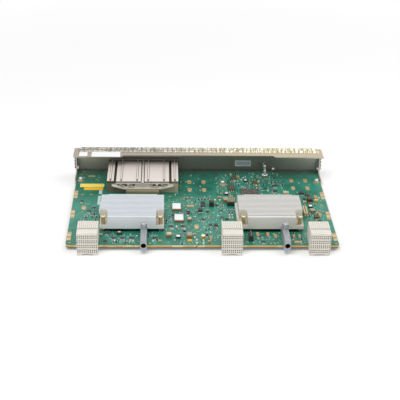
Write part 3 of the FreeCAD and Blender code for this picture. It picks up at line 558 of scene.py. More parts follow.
def chip(length, width, height, end, body):
    """A chip with its ends drawn out and tinned, lying along X on the origin."""
    piece = new_box((length - 2 * end, width, height))
    piece.data.materials.append(body)
    piece.data.materials.append(solder)
    piece.active_material_index = 1
    shape(piece, lambda middle, normal: abs(normal.x) > 0.9,
          (bpy.ops.mesh.extrude_faces_move, {"TRANSFORM_OT_shrink_fatten": {"value": end * mm}}),
          (bpy.ops.mesh.select_more, {}), (bpy.ops.object.material_slot_assign, {}))
    return round_edges(piece, 0.06, 1)


for name, sizes, body, slot, reach, turn, pairs in (
        ("black_chips", (3.2, 1.8, 0.9, 0.5), black_film, "package_black", 1.8, 0,
         ((-1.8, 110.4), (2.3, 110.4), (6.1, 110.5), (10, 110.5), (-5.9, 104.9), (8.4, 37.6),
          (4.6, 35.2), (33.8, 76.1), (37.4, 76.1), (-41.2, 57.7), (-41.2, 51.8), (36.9, 157),
          (48, 180.8), (81.3, 149.6), (92.1, 157.5), (96.9, 157.6), (101, 157.6), (105, 148),
          (49.8, 147.2), (59.3, 146.1), (-126.6, 72.4), (-124, 58.4), (-123.5, 65.6),
          (129.1, 68.6), (127, 57), (105.1, 27), (111.5, 22.9), (113.2, 15), (-23.6, 3.4),
          (-98, 8), (-87, 9), (-62, 21), (-52, 12), (-103, 23))),
        ("row_chips", (2.6, 1.4, 0.9, 0.5), black_film, "package_black", 1.0, math.pi / 2,
         ((32.6, 84.4), (35.2, 84.4), (37.8, 84.4), (40.4, 84.4))),
        ("brown_chips", (3.2, 2.2, 1.4, 0.5), brown_ceramic, "package_black", 1.9, 0,
         ((-13.3, 113.1), (-17.4, 113.1), (26.3, 92.5), (-128.6, 65.6), (-136, 64.8),
          (139.2, 96.9), (141.9, 79), (85, 164.2), (41.6, 154.8), (-87.6, 7), (-48, 33.4),
          (127.6, 104.2))),
        ("amber_chips", (3.4, 2.4, 1.8, 0.3), amber_body, "tantalum_amber", 2.0, 0,
         ((23.5, 113.9), (75, 155.1), (30.8, 144.6), (142.6, 117), (55.5, 17.5), (-116, 22.4),
          (38.7, 115.8), (7.8, 7.4), (-9, 23.2), (140, 74.6), (50.4, 169.4), (127.9, 103),
          (-48.4, 8.2))),
        ("yellow_chips", (5.0, 2.6, 2.2, 0.4), yellow_body, "tantalum_amber", 2.6, 0,
         ((-14.8, 8.8), (142.1, 106.3))),
        ("white_chips", (1.9, 1.3, 0.7, 0.4), white_alumina, "package_black", 1.3, 0,
         ((-99.5, 10), (-79, 9.6), (-56.4, 9), (-75, 20.5), (-70, 20), (3, 41), (20, 69),
          (24, 56), (-20, 36.5), (-34, 36.5), (54.5, 164.5), (57.2, 169), (76, 160), (46, 160),
          (72, 147.6), (-7, 66.5), (-15.8, 68.6))),
        ("cream_chips", (1.7, 2.6, 1.4, 0.4), cream_body, "package_black", 1.6, 0,
         ((18.4, 107.4), (-29.5, 41), (-6.8, 10.5), (-7, 4), (0.6, 9.7), (0.5, 3), (9.4, 28.1),
          (33.6, 70), (37, 70.1), (33.7, 63.2), (37, 63.2), (24, 107), (85.6, 133.1),
          (146.2, 113), (-9, 16.8)))):
    set_out(name, chip(*sizes, body), claim(points(pairs, turn), reach, reach), slot)

scatter_share = 0.75
for name, sizes, body, reach in (
        ("small_tan_capacitors", (2.0, 1.2, 1.0, 0.4), tan_ceramic, 1.3),
        ("small_resistors", (1.8, 1.0, 0.5, 0.35), black_film, 1.2)):
    places = []
    for x0, x1, y0, y1, count in part_zones:
        for number in range(int(count * scatter_share)):
            point = on_board(chance.uniform(x0, x1), chance.uniform(y0, y1))
            if is_free(point, reach):
                turn = chance.choice((0, 1)) * math.pi / 2
                places += claim([(point, turn)], reach, reach)
    set_out(name, chip(*sizes, body), places, "package_black")


# ---- Small transistors ----
# Moulded black bodies three and a half millimetres long. Three bent tin leads hold each
# one a little off the board, two on one long side and one on the other.

transistor = new_box((3.6, 2.1, 1.3), (0, 0, 0.15 * mm))
transistor.data.materials.append(black_film)
transistor_parts = [round_edges(transistor, 0.15, 1, upward)]
for x, side in ((-1.1, -1), (1.1, -1), (0, 1)):
    foot = new_box((0.7, 1.0, 0.2), (x * mm, side * 1.4 * mm, 0))
    foot.data.materials.append(solder)
    shape(foot, lambda middle, normal: normal.y * side < -0.9, drawn_out(0, -side * 0.2, 0.5))
    transistor_parts.append(foot)
transistor_places = points(((-15, 78.4), (-14.5, 73.6), (7.8, 77.7), (19.6, 94.3), (-127.6, 87.1),
                            (-110.5, 8.2), (-66, 9), (83.4, 138), (96.8, 167.3), (128, 111),
                            (139.8, 56), (-20.5, 31), (30, 60), (5, 22), (-33, 70)))
set_out("small_transistors", joined(transistor_parts), transistor_places, "package_black")


# ---- Leads of the packages ----
# Tinned gull-wing leads bent out of the packages' sides and soldered to pads on the board.
# Short wide tracks run out from the eight-lead ones, and gold combs from the regulators.

def spot(x, y, z, turn=0):
    """One place for a copy, in metres, with its turn."""
    return Vector((x, y, z)), turn


def bent_lead(size, bend, beyond, run, rounding, segments=1):
    """An upright strip whose end above or below the bend is drawn out along run."""
    piece = new_box(size)
    shape(piece, every, (bpy.ops.mesh.bisect, {"plane_co": (0, 0, bend * mm),
                                               "plane_no": (0, 0, 1)}))
    shape(piece, lambda middle, normal: normal.y < -0.9 and (middle.z > bend) == beyond,
          drawn_out(*run))
    return round_edges(piece, rounding, segments)


def row(middle, count, pitch):
    """Positions in a row about its middle, pitch mm apart."""
    return [middle + (number - (count - 1) / 2) * pitch * mm for number in range(count)]


def middle_x(box):
    """X of the middle of a box."""
    return (box[0].x + box[1].x) / 2


lead_places = []
for node, pitch, margin in (("small_outline_packages", 1.27, 0.5), ("memory_package", 1.6, 0.8),
                            ("logic_packages", 1.3, 0.5)):
    for low, high in solid_boxes(node):
        room = high.x - low.x - 2 * margin * mm
        for x in row(middle_x((low, high)), int(room / (pitch * mm)) + 1, pitch):
            lead_places.append(spot(x, low.y - 0.1 * mm, board_high.z))
            lead_places.append(spot(x, high.y + 0.1 * mm, board_high.z, math.pi))
set_out("package_leads", bent_lead((0.6, 0.2, 0.95), 0.2, False, (0, -1.4, 0), 0.04),
        lead_places, "pad", solder)

track = round_edges(new_box((0.4, 2.6, 0.03)), 0.01, 1)
track_places = [spot(x, y, board_high.z) for low, high in solid_boxes("small_outline_packages")
                for x in row(middle_x((low, high)), 4, 1.35)
                for y in (high.y + 4.4 * mm, low.y - 3.4 * mm)]
set_out("escape_tracks", track, track_places, "solder_mask",
        printed_paper("mask_over_wide_copper", "#7fb09c", "#a9cdbd", 0.4))

comb_places = [spot(low.x + (high.x - low.x) * sixths / 6, low.y - 0.15 * mm, board_high.z)
               for low, high in solid_boxes("regulators") for sixths in (1, 3, 5)]
comb_places += points([(104.9 + number * 1.3, 126.2) for number in range(5)])
set_out("regulator_leads", bent_lead((0.9, 0.25, 1.6), 0.3, False, (0, -1.6, 0), 0.05),
        comb_places, "socket_gold", edge_pad_gold)
ribbon_socket = round_edges(new_box((6.6, 2.4, 1.9), on_board(107.5, 127.7)), 0.2)
hand_over("ribbon_socket", ribbon_socket, "natural_nylon", cream_body)


# ---- Backplane receptacles ----
# Light grey glass-filled mouldings, dull from the mould. Rows of dark contacts sit deep in the
# openings of each front, their darkness painted shade, and short dark marks of painted shade in
# the top show where the wafers hook in.

def moulded_plastic(name, dark, light, grain, roughness):
    """Moulded plastic: a soft mottle and a fine orange-peel skin of that grain."""
    plastic = clouded(name, dark, light, 12 * grain, roughness, detail=4.0)
    place = plastic.node_tree.nodes["place"].outputs["Object"]
    skin = add(plastic, "TexNoise", {"Vector": place, "Scale": 1 / (grain * mm)})
    bump = add(plastic, "Bump", {"Height": skin, "Strength": 0.2, "Distance": 0.04 * mm})
    return coat(plastic, {"Normal": bump})


sides = ("left", "middle", "right")
finish_nodes(moulded_plastic("glass_filled_liquid_crystal_polymer", "#d0ccc1", "#e2ded3", 0.5,
                             0.55), *["receptacle_hood_" + side for side in sides])
finish_nodes(moulded_plastic("wafer_moulding", "#d3cfc4", "#e3dfd5", 0.5, 0.55),
             *["receptacle_wafers_" + side for side in sides])
# Painted shade: one dark tone for the contacts deep in the openings and for the slot marks on top
contact_shade = moulded_plastic("contact_springs_in_painted_shade", "#4b463e", "#6f685c", 0.3, 0.6)
columns = 10
column_pitch = 2.3
pair_pitch = 5.9
pair_split = 1.175
lowest_pair = -0.8
contact_depth = 1.3
contact_places = []
slot_places = []
for side in sides:
    low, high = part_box("receptacle_hood_" + side)
    for x in row(middle_x((low, high)), columns, column_pitch):
        slot_places.append(spot(x, on_board(0, -1.2).y, high.z - 0.07 * mm))
        for pair in range(4):
            for split in (-pair_split, pair_split):
                z = on_board(0, 0, lowest_pair + pair * pair_pitch + split).z
                contact_places.append(spot(x, low.y + contact_depth * mm, z))
contact = round_edges(new_box((1.16, 0.5, 1.46), (0, 0, -0.73 * mm)), 0.08, 1)
set_out("receptacle_contacts", contact, contact_places, "package_black", contact_shade)
slot_mark = round_edges(new_box((0.9, 1.1, 0.1)), 0.04, 1)
set_out("receptacle_slots", slot_mark, slot_places, "receptacle_moulding", contact_shade)


# ---- Underside of the board ----
# Press-fit pin tips of the receptacles show through the board, and small ceramic
# capacitors sit below each processor to steady its supply.

def downward(middle, normal):
    """Wants the faces that look down."""
    return normal.z < -0.9


def grid(box, across, deep):
    """Middles of the cells of a box that is split evenly, below the board."""
    low, high = box
    return [(column, line, Vector((low.x + (high.x - low.x) * (column + 0.5) / across,
                                   low.y + (high.y - low.y) * (line + 0.5) / deep, board_low.z)))
            for column in range(across) for line in range(deep)]


tip_rows = 6
tip_pitch = 2.0
first_tip_y = 7.0
tip_places = [spot(point.x, on_board(0, first_tip_y + line * tip_pitch).y, point.z)
              for side in sides
              for column, line, point in grid(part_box("receptacle_wafers_" + side), columns,
                                              tip_rows)]
tip = round_edges(new_post(0.35, 1.0, (0, 0, -1.0 * mm), 8), 0.12, 1, downward)
set_out("press_fit_tips", tip, tip_places, "pad", solder)

below_chip = chip(2.0, 1.2, 0.9, 0.4, tan_ceramic)
below_chip.data.transform(Matrix.Rotation(math.pi, 4, "Y"))
below_places = [(point, (column + line) % 2 * math.pi / 2) for side in ("left", "right")
                for column, line, point in grid(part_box("processor_" + side), 7, 6)]
set_out("supply_capacitors_below", below_chip, below_places, "package_black")


# ---- Guide blocks ----
# Die-cast zinc, left as cast: a soft grey metal skin with a slight orange peel. A bore in
# each end takes the chassis guide pin, and a screw from below holds the block.

bore_height = 5.0             # of its axis above the board
bore_reach = 2.9


def cast_metal(name, dark, light, grain, roughness, bore):
    """A casting's skin with grains of that size, black with painted shade inside its bore."""
    metal = clouded(name, dark, light, 8 * grain, roughness, 0.45, 5.0)
    nodes = metal.node_tree.nodes
    place = nodes["place"].outputs["Object"]
    centred = add(metal, "VectorMath", {0: place, 1: bore}, operation="SUBTRACT")
    flat = add(metal, "VectorMath", {0: centred, 1: (1, 0, 1)}, operation="MULTIPLY")
    reach = add(metal, "VectorMath", {0: flat}, operation="LENGTH")
    # Painted shade: black within bore_reach of the bore's axis
    whole = past(metal, nodes["tone"], reach, "LESS_THAN", bore_reach * mm, "#141416")
    skin = add(metal, "TexNoise", {"Vector": place, "Scale": 1 / (grain * mm), "Detail": 3.0})
    bump = add(metal, "Bump", {"Height": skin, "Strength": 0.3, "Distance": 0.05 * mm})
    return coat(metal, {"Base Color": whole, "Normal": bump})


for name in ("guide_block_left", "guide_block_right"):
    axis = (middle_x(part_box(name)), 0, board_high.z + bore_height * mm)
    finish_nodes(cast_metal("die_cast_zinc", "#93989c", "#adb1b4", 0.6, 0.42, axis), name)


# ---- Finned coolers ----
# Extruded aluminium, milled and clear anodised: pale, satin, with the fine lines of the die and
# cutter along its length, with painted light on its upright faces and painted shade in its
# pockets.
# Each is held by two spring screws.

def milled_metal(name, dark, light, line_pitch, roughness, metallic, stretch=(1, 1, 1),
                 upright_painted_tone=None):
    """Satin metal with fine lines; stretch squeezes them, and the last argument is painted light
    and shade: a tone of its own for the upright faces.
    """
    metal = clouded(name, dark, light, 14 * line_pitch, roughness, metallic, 6.0, 0.6, stretch)
    nodes = metal.node_tree.nodes
    tone = nodes["tone"]
    if upright_painted_tone:
        facing = add(metal, "SeparateXYZ", {"Vector": nodes["place"].outputs["Normal"]}).outputs
        tone = past(metal, tone, facing["Z"], "LESS_THAN", 0.5, upright_painted_tone)
    bump = add(metal, "Bump", {"Height": nodes["cloud"], "Strength": 0.15,
                               "Distance": 0.03 * mm})
    return coat(metal, {"Base Color": tone, "Normal": bump})


cooler_ledge = 2.4
pocket_offset = 27.5          # of a screw pocket from the cooler's middle
pocket_y = (31, 49.2)
pocket_top = 19
pocket_shade = (9, 16)        # heights of the darkest and the palest painted shade in a pocket


def cooler_aluminium(name, dark, light, upright_painted_tone, middle):
    """Clear anodising with die lines; the two screw pockets get painted shade, darker towards
    their floor, and a warm painted reflection.
    """
    metal = milled_metal(name, dark, light, 0.4, 0.5, 0.25, (1, 14, 1), upright_painted_tone)
    nodes = metal.node_tree.nodes
    outside = nodes["Principled BSDF"].inputs["Base Color"].links[0].from_socket
    place = add(metal, "SeparateXYZ", {"Vector": nodes["place"].outputs["Object"]}).outputs
    offset = add(metal, "Math", {0: place["X"], 1: middle}, operation="SUBTRACT")
    offset = add(metal, "Math", {0: offset}, operation="ABSOLUTE")
    share = add(metal, "Math", {0: offset, 1: pocket_offset * mm}, operation="GREATER_THAN")
    for value, limit, operation in (
            (place["Y"], on_board(0, pocket_y[0]).y, "GREATER_THAN"),
            (place["Y"], on_board(0, pocket_y[1]).y, "LESS_THAN"),
            (place["Z"], board_high.z + pocket_top * mm, "LESS_THAN")):
        part = add(metal, "Math", {0: value, 1: limit}, operation=operation)
        share = add(metal, "Math", {0: share, 1: part}, operation="MULTIPLY")
    darkest, palest = [board_high.z + height * mm for height in pocket_shade]
    height = add(metal, "MapRange", {"Value": place["Z"], "From Min": darkest,
                                     "From Max": palest})
    # Painted shade and a warm painted reflection inside the screw pockets
    pocket_painted_light_and_shade = add(metal, "Mix", {"Factor": height, "A": "#c6bda9", "B": "#efeae0"})
    whole = add(metal, "Mix", {"Factor": share, "A": outside, "B": pocket_painted_light_and_shade})
    return coat(metal, {"Base Color": whole})


# The last tone of each cooler is painted light on its upright faces
for side, dark, light, upright_painted_tone in (("left", "#c6ccd1", "#d9dfe3", "#eceff2"),
                                ("right", "#cbcccb", "#dededb", "#dfdcd6")):
    middle = middle_x(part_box("cooler_" + side)) + cooler_ledge * mm / 2
    finish_nodes(cooler_aluminium("clear_anodised_aluminium_" + side, dark, light, upright_painted_tone, middle),
                 "cooler_" + side)
bright_steel = milled_metal("zinc_plated_steel", "#c4c6c8", "#e2e4e5", 0.3, 0.28, 0.6)
finish_nodes(bright_steel, "cooler_nuts", "guide_block_screws", "clinch_nuts", "side_screws")
pale_zinc = milled_metal("pale_yellow_zinc", "#c9bc9c", "#f2e9d4", 0.5, 0.35, 0.5)
spring_wire = milled_metal("passivated_spring_wire", "#8f7b4c", "#b9a672", 0.3, 0.3, 0.6)


def recessed_screw(node, head, radius, crown, segments, cross_width, cross_depth, neck=0.0):
    """A screw as long as the modelled ones, its head crowned, with a cross sunk into it."""
    low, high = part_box(node)
    length = (high.z - low.z) / mm
    piece = new_post(radius, head, (0, 0, (length - head) * mm))
    round_edges(piece, crown, segments, upward)
    arm = cross_width * 0.34
    cross = new_box((arm, arm, 2 * cross_depth), (0, 0, (length - cross_depth) * mm))
    shape(cross, lambda middle, normal: abs(normal.z) < 0.5, (
        bpy.ops.mesh.extrude_faces_move,
        {"TRANSFORM_OT_shrink_fatten": {"value": cross_width * 0.35 * mm}}))
    sink = piece.modifiers.new("sink", "BOOLEAN")
    sink.operation = "DIFFERENCE"
    sink.object = cross
    only(piece)
    bpy.ops.object.modifier_apply(modifier="sink")
    bpy.data.objects.remove(cross)
    shank = new_post(1.45, length - head + neck, sides=20)
    return joined([piece, round_edges(shank, 0.25, 1, downward)])


def axes_of(node, z, turn=0):
    """The places where the separate solids of a part stand, at that height."""
    return [spot(middle_x((low, high)), (low.y + high.y) / 2, z, turn)
            for low, high in solid_boxes(node)]


set_out("cooler_spring_screws", recessed_screw("cooler_screws", 2.0, 2.8, 0.9, 4, 3.8, 1.2, 0.1),
        axes_of("cooler_screws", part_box("cooler_screws")[0].z, 0.4), "fastener_steel", pale_zinc,
        nodes=("cooler_screws",))

spring_low, spring_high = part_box("cooler_springs")
wire = 0.65
turns = 5
coil = new_piece(bpy.ops.mesh.primitive_circle_add, (2.1 * mm, 0, wire / 2 * mm), vertices=8,
                 radius=wire / 2 * mm, rotation=(math.pi / 2, 0, 0))
wind = coil.modifiers.new("wind", "SCREW")
wind.screw_offset = (spring_high.z - spring_low.z - wire * mm) / turns
wind.iterations = turns
wind.steps = 20
wind.render_steps = 20
bpy.ops.object.modifier_apply(modifier="wind")
shape(coil, every, (bpy.ops.mesh.fill_holes, {"sides": 0}),
      (bpy.ops.mesh.select_all, {"action": "SELECT"}),
      (bpy.ops.mesh.normals_make_consistent, {"inside": False}))
smooth(50)
set_out("coil_springs", coil, axes_of("cooler_screws", spring_low.z), "spring_steel", spring_wire,
        nodes=("cooler_springs",))


# ---- Board screws ----
# Tall bullet-headed steel screws on yellow zinc washers. Each stands on a ring of bare
# gold and pulls the board down on one of the panel's tabs.

ring_pad = round_edges(new_post(4.2, pad_height), pad_rounding, 1, upward)
set_out("screw_pads", ring_pad, axes_of("board_screws", board_high.z), "socket_gold", pad_gold)
washer = round_edges(new_post(3.3, 0.5), 0.12, 2,
                     lambda middle, normal: abs(normal.z) > 0.9)
set_out("screw_washers", washer, axes_of("board_screws", board_high.z), "fastener_steel",
        milled_metal("yellow_zinc_washer", "#8f7c58", "#b9a67c", 0.4, 0.4, 0.4))
set_out("bullet_head_screws", recessed_screw("board_screws", 4.0, 2.5, 1.6, 5, 1.7, 0.9),
        axes_of("board_screws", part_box("board_screws")[0].z, 0.3), "fastener_steel",
        bright_steel, nodes=("board_screws",))


# ---- Module cage ----
# Machined aluminium rails and riding cooler under a warm grey anodising, with a spring
# clip and a connector cover in thin stainless and tin-plated sheet.

# Heights below which painted shade darkens the cage and its fronts
recess_top = 13.7
low_front_top = 12.4


def cage_anodising(name, front, low_front):
    """Warm anodising on upper faces, with painted shade on recesses and rib sides, and painted
    light and shade on the fronts.
    """
    skin = clouded(name, "#d6cdc6", "#e6ded7", 7, 0.55, 0.2, 6.0, stretch=(6, 1, 1))
    nodes = skin.node_tree.nodes
    place = nodes["place"].outputs
    level = add(skin, "SeparateXYZ", {"Vector": place["Object"]}).outputs["Z"]
    facing = add(skin, "SeparateXYZ", {"Vector": place["Normal"]}).outputs
    # Painted shade: everything below recess_top is dark
    tone = past(skin, nodes["tone"], level, "LESS_THAN", board_high.z + recess_top * mm,
                "#4a4238")
    # Painted shade on the rib sides that face across
    across = add(skin, "Math", {0: facing["X"]}, operation="ABSOLUTE")
    tone = past(skin, tone, across, "GREATER_THAN", 0.6, "#8d7c66")
    # Fronts: a painted tone of light and reflection, and below low_front_top a painted shade tone
    face = past(skin, front, level, "LESS_THAN", board_high.z + low_front_top * mm, low_front)
    return coat(skin, {"Base Color": past(skin, tone, facing["Y"], "LESS_THAN", -0.6, face)})


# Front tones are painted: the riding cooler black below the clip as shade behind its windows, the
# rails as reflections, the bezel as shade under the flange
for node, name, front, low_front in (
        ("riding_cooler", "anodised_riding_cooler", "#9c958b", "#161412"),
        ("cage_rail_left", "anodised_left_rail", "#4f4a3a", "#726c55"),
        ("cage_rail_right", "anodised_right_rail", "#7c755f", "#b8af95"),
        ("port_bezel", "anodised_bezel", "#6b6650", "#6b6650")):
    finish_nodes(cage_anodising(name, front, low_front), node)
# The clip's and the cover's upright faces get a tone of their own as painted light and shade
spring_sheet = milled_metal("stainless_spring_sheet", "#ccc7c0", "#e6e2dc", 0.4, 0.3, 0.15,
                            (1, 1, 6), "#c9beb1")
finish_nodes(spring_sheet, "spring_clip")
finish_nodes(milled_metal("tin_plated_sheet", "#857b60", "#9f9577", 0.4, 0.45, 0.3,
                          upright_painted_tone="#93876b"), "host_connector_cover")

# Painted shade: thin dark lines laid beside each rib
rib_shade_tone = fired_ceramic("painted_rib_shade", "#6b5a46", "#8b7a64")
rib_length = 52.4
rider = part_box("riding_cooler")
for name, body, offsets in (("rider_rib_lines", "floating_cooler", (-26.3, -6.75, 6.75, 26.3)),
                            ("rail_rib_lines", "card", (-39.75, 39.75))):
    lines = [round_edges(new_box((0.45, rib_length, 0.06), (
        middle_x(rider) + (offset + side) * mm, rider[0].y + (3.6 + rib_length / 2) * mm,
        rider[1].z - 1.3 * mm)), 0.02, 1) for offset in offsets for side in (-1, 1)]
    hand_over(name, joined(lines), "cage_aluminium", rib_shade_tone, body=body)

curl = new_box((6.4, 0.6, 0.25))
shape(curl, every, (bpy.ops.mesh.subdivide, {"number_cuts": 9}))
bend = curl.modifiers.new("bend", "SIMPLE_DEFORM")
bend.deform_method = "BEND"
bend.deform_axis = "Y"
bend.angle = math.radians(75)
bpy.ops.object.modifier_apply(modifier="bend")
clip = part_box("spring_clip")
curl_places = [spot(middle_x(clip) + offset * mm, clip[0].y + 1.4 * mm,
                    board_high.z + height * mm)
               for offset, height in ((-12.5, 9.2), (12.5, 9.2), (-25.5, 11.2), (25.5, 11.2))]
set_out("clip_curls", curl, curl_places, "clip_steel", spring_sheet, body="floating_cooler")


# ---- Front panel ----
# Zinc-plated sheet steel, folded, under painted light: brighter where it faces up and warmer to
# the right, with painted reflections paler towards both ends. Bronze finger strips in two rows
# seal its top and its sides.

panel_reflection_span = (95, 157)      # from the middle towards each end
flange_reflection_span = (-40, 60)     # from left to right
finger_glint_span = (-70, 90)
gap_pitch = 5.5               # drawn coarser than the real fingers, so that it shows


def plated_panel():
    """Zinc plating: faint rolling lines along the panel, with painted reflections paler near its
    two ends and painted light on its upper faces.
    """
    zinc = clouded("zinc_plated_sheet", "#8b867e", "#a49f96", 7, 0.4, 0.85, 6.0,
                   stretch=(1, 8, 8))
    nodes = zinc.node_tree.nodes
    place = nodes["place"].outputs
    along = add(zinc, "SeparateXYZ", {"Vector": place["Object"]}).outputs["X"]
    facing = add(zinc, "SeparateXYZ", {"Vector": place["Normal"]}).outputs
    # Painted reflection: paler towards both ends
    outward = add(zinc, "Math", {0: along}, operation="ABSOLUTE")
    end = add(zinc, "MapRange", {"Value": outward, "From Min": panel_reflection_span[0] * mm,
                                 "From Max": panel_reflection_span[1] * mm})
    inner = add(zinc, "Mix", {"Factor": end, "A": nodes["tone"], "B": "#cbc6be"})
    # Painted light and reflection on faces that look up, warmer to the right
    warm = add(zinc, "MapRange", {"Value": along, "From Min": flange_reflection_span[0] * mm,
                                  "From Max": flange_reflection_span[1] * mm})
    upper = add(zinc, "Mix", {"Factor": warm, "A": "#b0a69a", "B": "#c4b7a0"})
    whole = past(zinc, inner, facing["Z"], "GREATER_THAN", 0.6, upper)
    bump = add(zinc, "Bump", {"Height": nodes["cloud"], "Strength": 0.15, "Distance": 0.03 * mm})
    return coat(zinc, {"Base Color": whole, "Normal": bump})


def finger_bronze():
    """Tin over bronze fingers: painted glints in patches some millimetres wide, fading out to the
    left, and painted shade in the slits.
    """
    bronze = clouded("tin_plated_bronze_fingers", "#77736a", "#a7a397", 3.0, 0.4, 0.5,
                     stretch=(1, 0.3, 1))
    nodes = bronze.node_tree.nodes
    place = nodes["place"].outputs["Object"]
    # Painted glints: bright patches, fading out to the left
    glint_share = add(bronze, "MapRange", {"Value": nodes["cloud"], "From Min": 0.42, "From Max": 0.6})
    feed(nodes["tone"], {"Factor": glint_share})
    bright = add(bronze, "Mix", {"Factor": glint_share, "A": "#c6be97", "B": "#fdf9e8"})
    along = add(bronze, "SeparateXYZ", {"Vector": place}).outputs["X"]
    share = add(bronze, "MapRange", {"Value": along, "From Min": finger_glint_span[0] * mm,
                                    "From Max": finger_glint_span[1] * mm})
    tone = add(bronze, "Mix", {"Factor": share, "A": nodes["tone"], "B": bright})
    # Painted shade in the slits between the fingers
    rows = add(bronze, "TexWave", {"Vector": place, "Distortion": 0.5,
                                   "Scale": wave_period / (gap_pitch * mm)})
    gap = add(bronze, "Math", {0: rows.outputs["Fac"], 1: 0.12}, operation="LESS_THAN")
    gap = add(bronze, "Math", {0: gap, 1: 0.55}, operation="MULTIPLY")
    cut = add(bronze, "Mix", {"Factor": gap, "A": tone, "B": "#55503f"})
    return coat(bronze, {"Base Color": cut})


finish_nodes(plated_panel(), "front_panel")
finish_nodes(finger_bronze(), "gasket_top", "gasket_left", "gasket_right")
label("small_flange_label", -150.7, -140.5, 168, 180, 30.3, white_paper)
label("large_flange_label", -135.2, -99.2, 166.5, 182.5, 30.3, white_paper)
for name, size, foot, film in (
        ("silver_panel_label", (20.4, 0.12, 8.3), on_board(58, 192.43, 5.3),
         printed_paper("pale_film", "#dfe8ec", "#f4f9fb")),
        ("silver_label_field", (17.2, 0.1, 5.4), on_board(58, 192.36, 6.7),
         printed_paper("grey_film", "#97a6b0", "#dbe4e9"))):
    hand_over(name, round_edges(new_box(size, foot), 0.04, 1), "panel_steel", film)


# ---- Packages ----
# Black moulded packages, matt on top and darker on their sides. Crystals and clocks have
# nickel lids on dark cans, painted white as their bright reflection, and chokes and tantalum
# capacitors are ferrite and epoxy.

def two_faced(name, top_dark, top_light, side, grain, roughness):
    """A part whose upper face differs from its sides, each with grains of that size."""
    skin = clouded(name, top_dark, top_light, grain, roughness, detail=3.0)
    nodes = skin.node_tree.nodes
    patch = add(skin, "MapRange", {"Value": nodes["cloud"], "From Min": 0.38, "From Max": 0.62})
    feed(nodes["tone"], {"Factor": patch})
    facing = add(skin, "SeparateXYZ", {"Vector": nodes["place"].outputs["Normal"]}).outputs
    whole = past(skin, side, facing["Z"], "GREATER_THAN", 0.6, nodes["tone"])
    return coat(skin, {"Base Color": whole})


pins_start_y = 95.3


def pinned_nylon():
    """Black nylon, and the gold pins that arch out of its far side down to the board."""
    nylon = clouded("black_nylon_with_gold_pins", "#202022", "#363638", 0.4, 0.4)
    nodes = nylon.node_tree.nodes
    gold = add(nylon, "Mix", {"Factor": nodes["cloud"], "A": "#b8923e", "B": "#e8cf88"})
    along = add(nylon, "SeparateXYZ", {"Vector": nodes["place"].outputs["Object"]}).outputs
    whole = past(nylon, nodes["tone"], along["Y"], "GREATER_THAN", on_board(0, pins_start_y).y,
                 gold)
    return coat(nylon, {"Base Color": whole})


for name, top_dark, top_light, side, grain, roughness, *nodes in (
        ("black_moulding_compound", "#2a2a2b", "#424140", "#161618", 0.8, 0.5,
         "small_outline_packages", "logic_packages"),
        ("scuffed_moulding_compound", "#1a1a1d", "#746c60", "#1b1b1d", 1.8, 0.45,
         "memory_package"),
        ("brown_black_moulding", "#3f3a30", "#5d5648", "#2e2b26", 0.8, 0.5, "regulators"),
        ("pressed_ferrite", "#8d8578", "#aaa294", "#8a6c40", 0.6, 0.6, "power_inductors"),
        ("browned_can", "#b9aea0", "#cfc6ba", "#94664a", 0.8, 0.4, "clock_modules"),
        ("amber_epoxy", "#a08a5e", "#b89f6c", "#c99a3c", 0.4, 0.45, "tantalum_capacitors")):
    finish_nodes(two_faced(name, top_dark, top_light, side, grain, roughness), *nodes)
finish_nodes(moulded_plastic("black_nylon", "#222224", "#343436", 0.25, 0.45),
             "host_connector", "jumper_header", "keyed_header")
finish_nodes(moulded_plastic("black_ceramic_can", "#26262a", "#3a3a3e", 0.25, 0.4), "crystals")
finish_nodes(moulded_plastic("natural_nylon", "#c0ab80", "#d8c69c", 0.3, 0.45), "board_socket")
finish_nodes(milled_metal("gold_plate", "#c9a452", "#e6c87e", 0.2, 0.3, 0.7), "test_socket")
finish_nodes(pinned_nylon(), "angled_header")

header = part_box("angled_header")
arch_places = [spot(x, header[1].y - 0.3 * mm, board_high.z)
               for x in row(middle_x(header), 4, 2.54)]
arch = bent_lead((0.75, 0.75, 8.2), 7.4, True, (0, -5.2, -3.6), 0.15, 2)
set_out("arched_pins", arch, arch_places, "socket_gold", pad_gold)

lids = []
for node, rim_x, rim_y, height, rounding, shift in (("clock_modules", 1.3, 1.8, 0.12, 0.05, 0.3),
                                                    ("crystals", 1.2, 1.2, 0.2, 0.08, 0)):
    for low, high in solid_boxes(node):
        size = (high - low) / mm
        lid = new_box((size.x - rim_x, size.y - rim_y, height),
                      (middle_x((low, high)), (low.y + high.y) / 2 + shift * mm, high.z))
        lids.append(round_edges(lid, rounding))
# Painted reflection: the nickel lids are given white
hand_over("white_lids", joined(lids), "lid_nickel",
          fired_ceramic("nickel_lid_painted_reflection", "#dcdfe0", "#f2f3f3"))

shroud = round_edges(new_box((6.2, 4.6, 2.7), on_board(-95.1, 25.6)), 0.3)
hand_over("choke_shroud", shroud, "inductor_ferrite", black_film)
caps = [round_edges(new_box((width, depth, 0.3), on_board(x, y, z)), 0.12)
        for x, y, z, width, depth in ((-13.9, 58.4, 2.8, 3.8, 4.2), (-95.1, 25.6, 2.68, 3.2, 2.4),
                                      (-38.3, 21.4, 3.6, 5.0, 4.6))]
hand_over("inductor_caps", joined(caps), "inductor_ferrite",
          fired_ceramic("cream_lacquer", "#bcae88", "#dccfaa"))
straps = [round_edges(new_box((1.9, 0.35, 1.1), (middle_x((low, high)), y, board_high.z)), 0.08, 1)
          for low, high in solid_boxes("tantalum_capacitors")
          for y in (low.y - 0.1 * mm, high.y + 0.1 * mm)]
hand_over("capacitor_straps", joined(straps), "tantalum_amber", solder)

